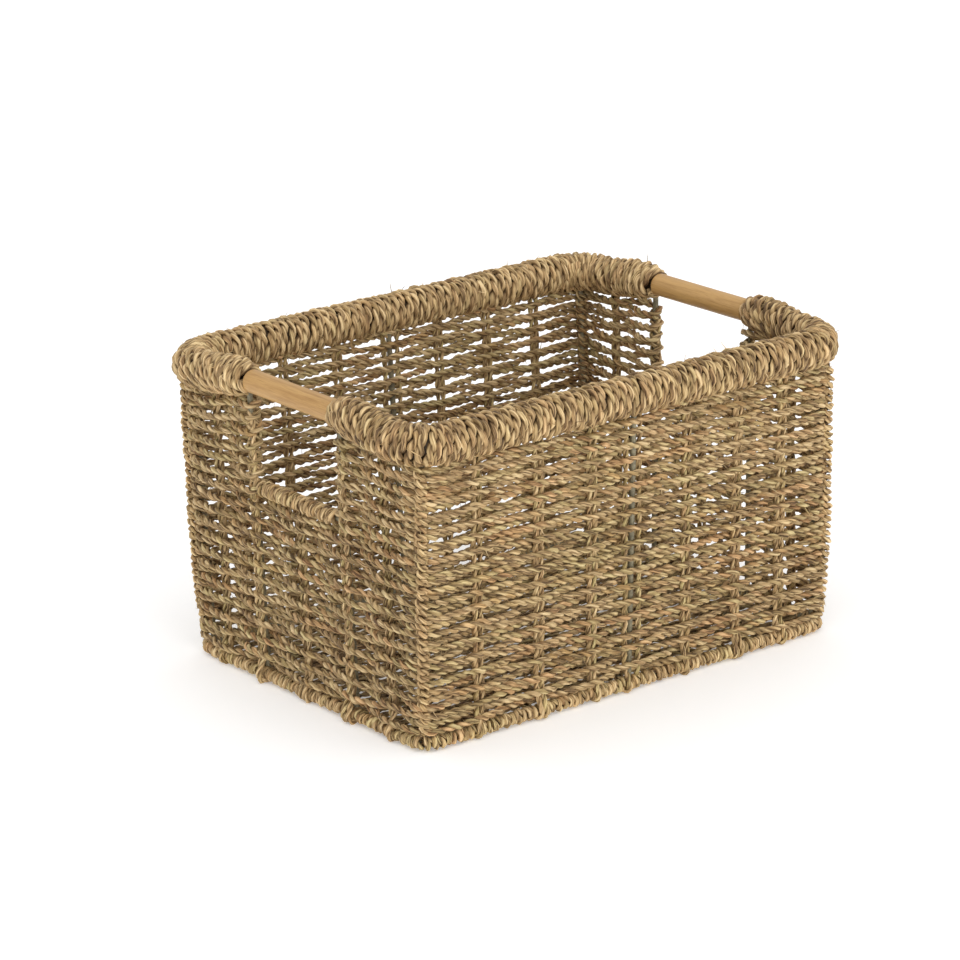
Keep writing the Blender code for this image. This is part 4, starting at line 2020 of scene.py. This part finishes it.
@dataclass
class WoodenGrip:
    """A turned wooden grip with eased ends and a bore for the rim wire."""

    maker: Maker
    end: End
    sides: int = 72
    ease: float = 0.0016
    ease_steps: int = 4
    rings: int = 40
    swell: float = 0.00012
    slack: float = 0.0004

    def eased(self, radius: float, half: float, part: float) -> tuple[float, float]:
        """A point of an eased end: how far out, and how far from the grip's middle.

        Args:
            radius: the grip's radius.
            half: half its length.
            part: from 0 on the end face to 1 on the side.
        """
        angle = math.pi / 2 * part
        return radius - self.ease * (1 - math.sin(angle)), half - self.ease * (1 - math.cos(angle))

    def build(self) -> None:
        """Turn the grip."""
        node = "handle_roll_" + self.end.word
        centre, size = middle(node), half_size(node)
        radius, half = size.z, size.y
        bore = self.maker.shape.wire + self.slack
        eased = [self.eased(radius, half, step / self.ease_steps) for step in range(self.ease_steps + 1)]
        profile = [(bore, -half), *((out, -along) for out, along in eased)]
        for step in range(1, self.rings):
            along = -half + self.ease + 2 * (half - self.ease) * step / self.rings
            swell = self.swell * noise.noise(Vector((self.end.value * 4.0, along * 40.0, 1.0)))
            profile.append((radius - self.swell + swell, along))
        profile += [*reversed(eased), (bore, half)]
        mesh = bpy.data.meshes.new("handle_grip_" + self.end.word)
        shape = bmesh.new()
        rings = []
        for side in range(self.sides):
            angle = 2 * math.pi * side / self.sides
            ways = [Vector((out * math.cos(angle), along, out * math.sin(angle))) for out, along in profile]
            rings.append([shape.verts.new(centre + way) for way in ways])
        skin(shape, [*rings, rings[0]])
        bmesh.ops.recalc_face_normals(shape, faces=shape.faces)
        for face in shape.faces:
            face.smooth = True
        shape.to_mesh(mesh)
        shape.free()
        mesh.set_sharp_from_angle(angle=math.radians(50))
        mesh.materials.append(self.maker.wood)
        piece = placed(mesh.name, mesh)
        self.maker.dress(piece, "grip_" + self.end.word, "grip_wood", [node])


@dataclass
class WireFrame:
    """The steel wires of the CAD frame, which keep their shape and get their finish."""

    maker: Maker

    def build(self) -> None:
        """Dress every steel wire of the frame."""
        parts = frame["record"]["subparts"]
        steel = [part["node"] for part in parts if part["material_slot"] == "frame_steel"]
        for name in steel:
            node = frame["nodes"][name]
            node.data.materials.clear()
            node.data.materials.append(self.maker.wire)
        log.info("frame: %d steel wires dressed", len(steel))


# ---------------------------------------------------------------------------------------------
# Studio
# ---------------------------------------------------------------------------------------------


@dataclass
class Studio:
    """A pale floor, soft light and the camera."""

    focal: float = 151.44
    distance: float = 3.14
    azimuth: float = -37.30
    elevation: float = 17.96
    roll: float = -1.62
    target: tuple[float, float, float] = (-0.0198, 0.0115, 0.1342)

    def camera(self) -> None:
        """Set up the camera."""
        az, el = math.radians(self.azimuth), math.radians(self.elevation)
        back = Vector((math.sin(az) * math.cos(el), -math.cos(az) * math.cos(el), math.sin(el)))
        right = Vector((math.cos(az), math.sin(az), 0.0))
        up = back.cross(right)
        turn = math.radians(self.roll)
        x_axis = right * math.cos(turn) + up * math.sin(turn)
        y_axis = up * math.cos(turn) - right * math.sin(turn)
        data = bpy.data.cameras.new("camera")
        data.lens = self.focal
        data.sensor_width = 36.0
        data.clip_end = 50.0
        camera = bpy.data.objects.new("camera", data)
        place = Matrix((x_axis, y_axis, back)).transposed().to_4x4()
        place.translation = Vector(self.target) + back * self.distance
        camera.matrix_world = place
        bpy.context.scene.collection.objects.link(camera)
        bpy.context.scene.camera = camera

    def floor(self) -> None:
        """Lay a plain pale floor."""
        material, _, shader = new_material("floor")
        shader.inputs["Base Color"].default_value = (0.93, 0.93, 0.93, 1.0)
        shader.inputs["Roughness"].default_value = 0.9
        shader.inputs["Specular IOR Level"].default_value = 0.1
        shader.inputs["Emission Color"].default_value = (1.0, 1.0, 1.0, 1.0)
        shader.inputs["Emission Strength"].default_value = 0.22
        bpy.ops.mesh.primitive_plane_add(size=16.0, location=(0.0, 0.0, -0.0006))
        plane = bpy.context.object
        plane.name = "floor"
        plane.data.materials.append(material)

    @staticmethod
    def sun(name: str, way: tuple[float, float, float], spread: float, strength: float) -> None:
        """Add a soft distant light.

        Args:
            name: the light's name.
            way: the direction in which it shines.
            spread: how wide it looks, in degrees.
            strength: its power for each square metre.
        """
        data = bpy.data.lights.new(name, "SUN")
        data.angle = math.radians(spread)
        data.energy = strength
        lamp = bpy.data.objects.new(name, data)
        lamp.rotation_euler = Vector(way).to_track_quat("-Z", "Y").to_euler()
        bpy.context.scene.collection.objects.link(lamp)

    def build(self) -> None:
        """Light the scene."""
        self.camera()
        self.floor()
        world = bpy.data.worlds.new("studio")
        world.use_nodes = True
        ground = world.node_tree.nodes["Background"]
        ground.inputs["Color"].default_value = (1.0, 1.0, 1.0, 1.0)
        ground.inputs["Strength"].default_value = 0.90
        bpy.context.scene.world = world
        bpy.context.scene.view_settings.view_transform = "Standard"
        self.sun("key", (0.14, 0.50, -0.84), 50.0, 0.42)
        self.sun("low_front", (0.12, 0.97, -0.10), 22.0, 0.95)


def main() -> None:
    """Build the looks of the basket."""
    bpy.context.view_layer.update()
    maker = Maker()
    makers = [
        WireFrame(maker),
        WovenWalls(maker),
        WallStakes(maker),
        WrappedRim(maker),
        WrappedEdges(maker),
        WoundSeams(maker),
        LooseFibres(maker),
        WovenBase(maker),
        WoodenGrip(maker, End.LEFT),
        WoodenGrip(maker, End.RIGHT),
        Studio(),
    ]
    for part in makers:
        part.build()
        log.info("%s done", type(part).__name__)


if __name__ == "__main__":
    main()
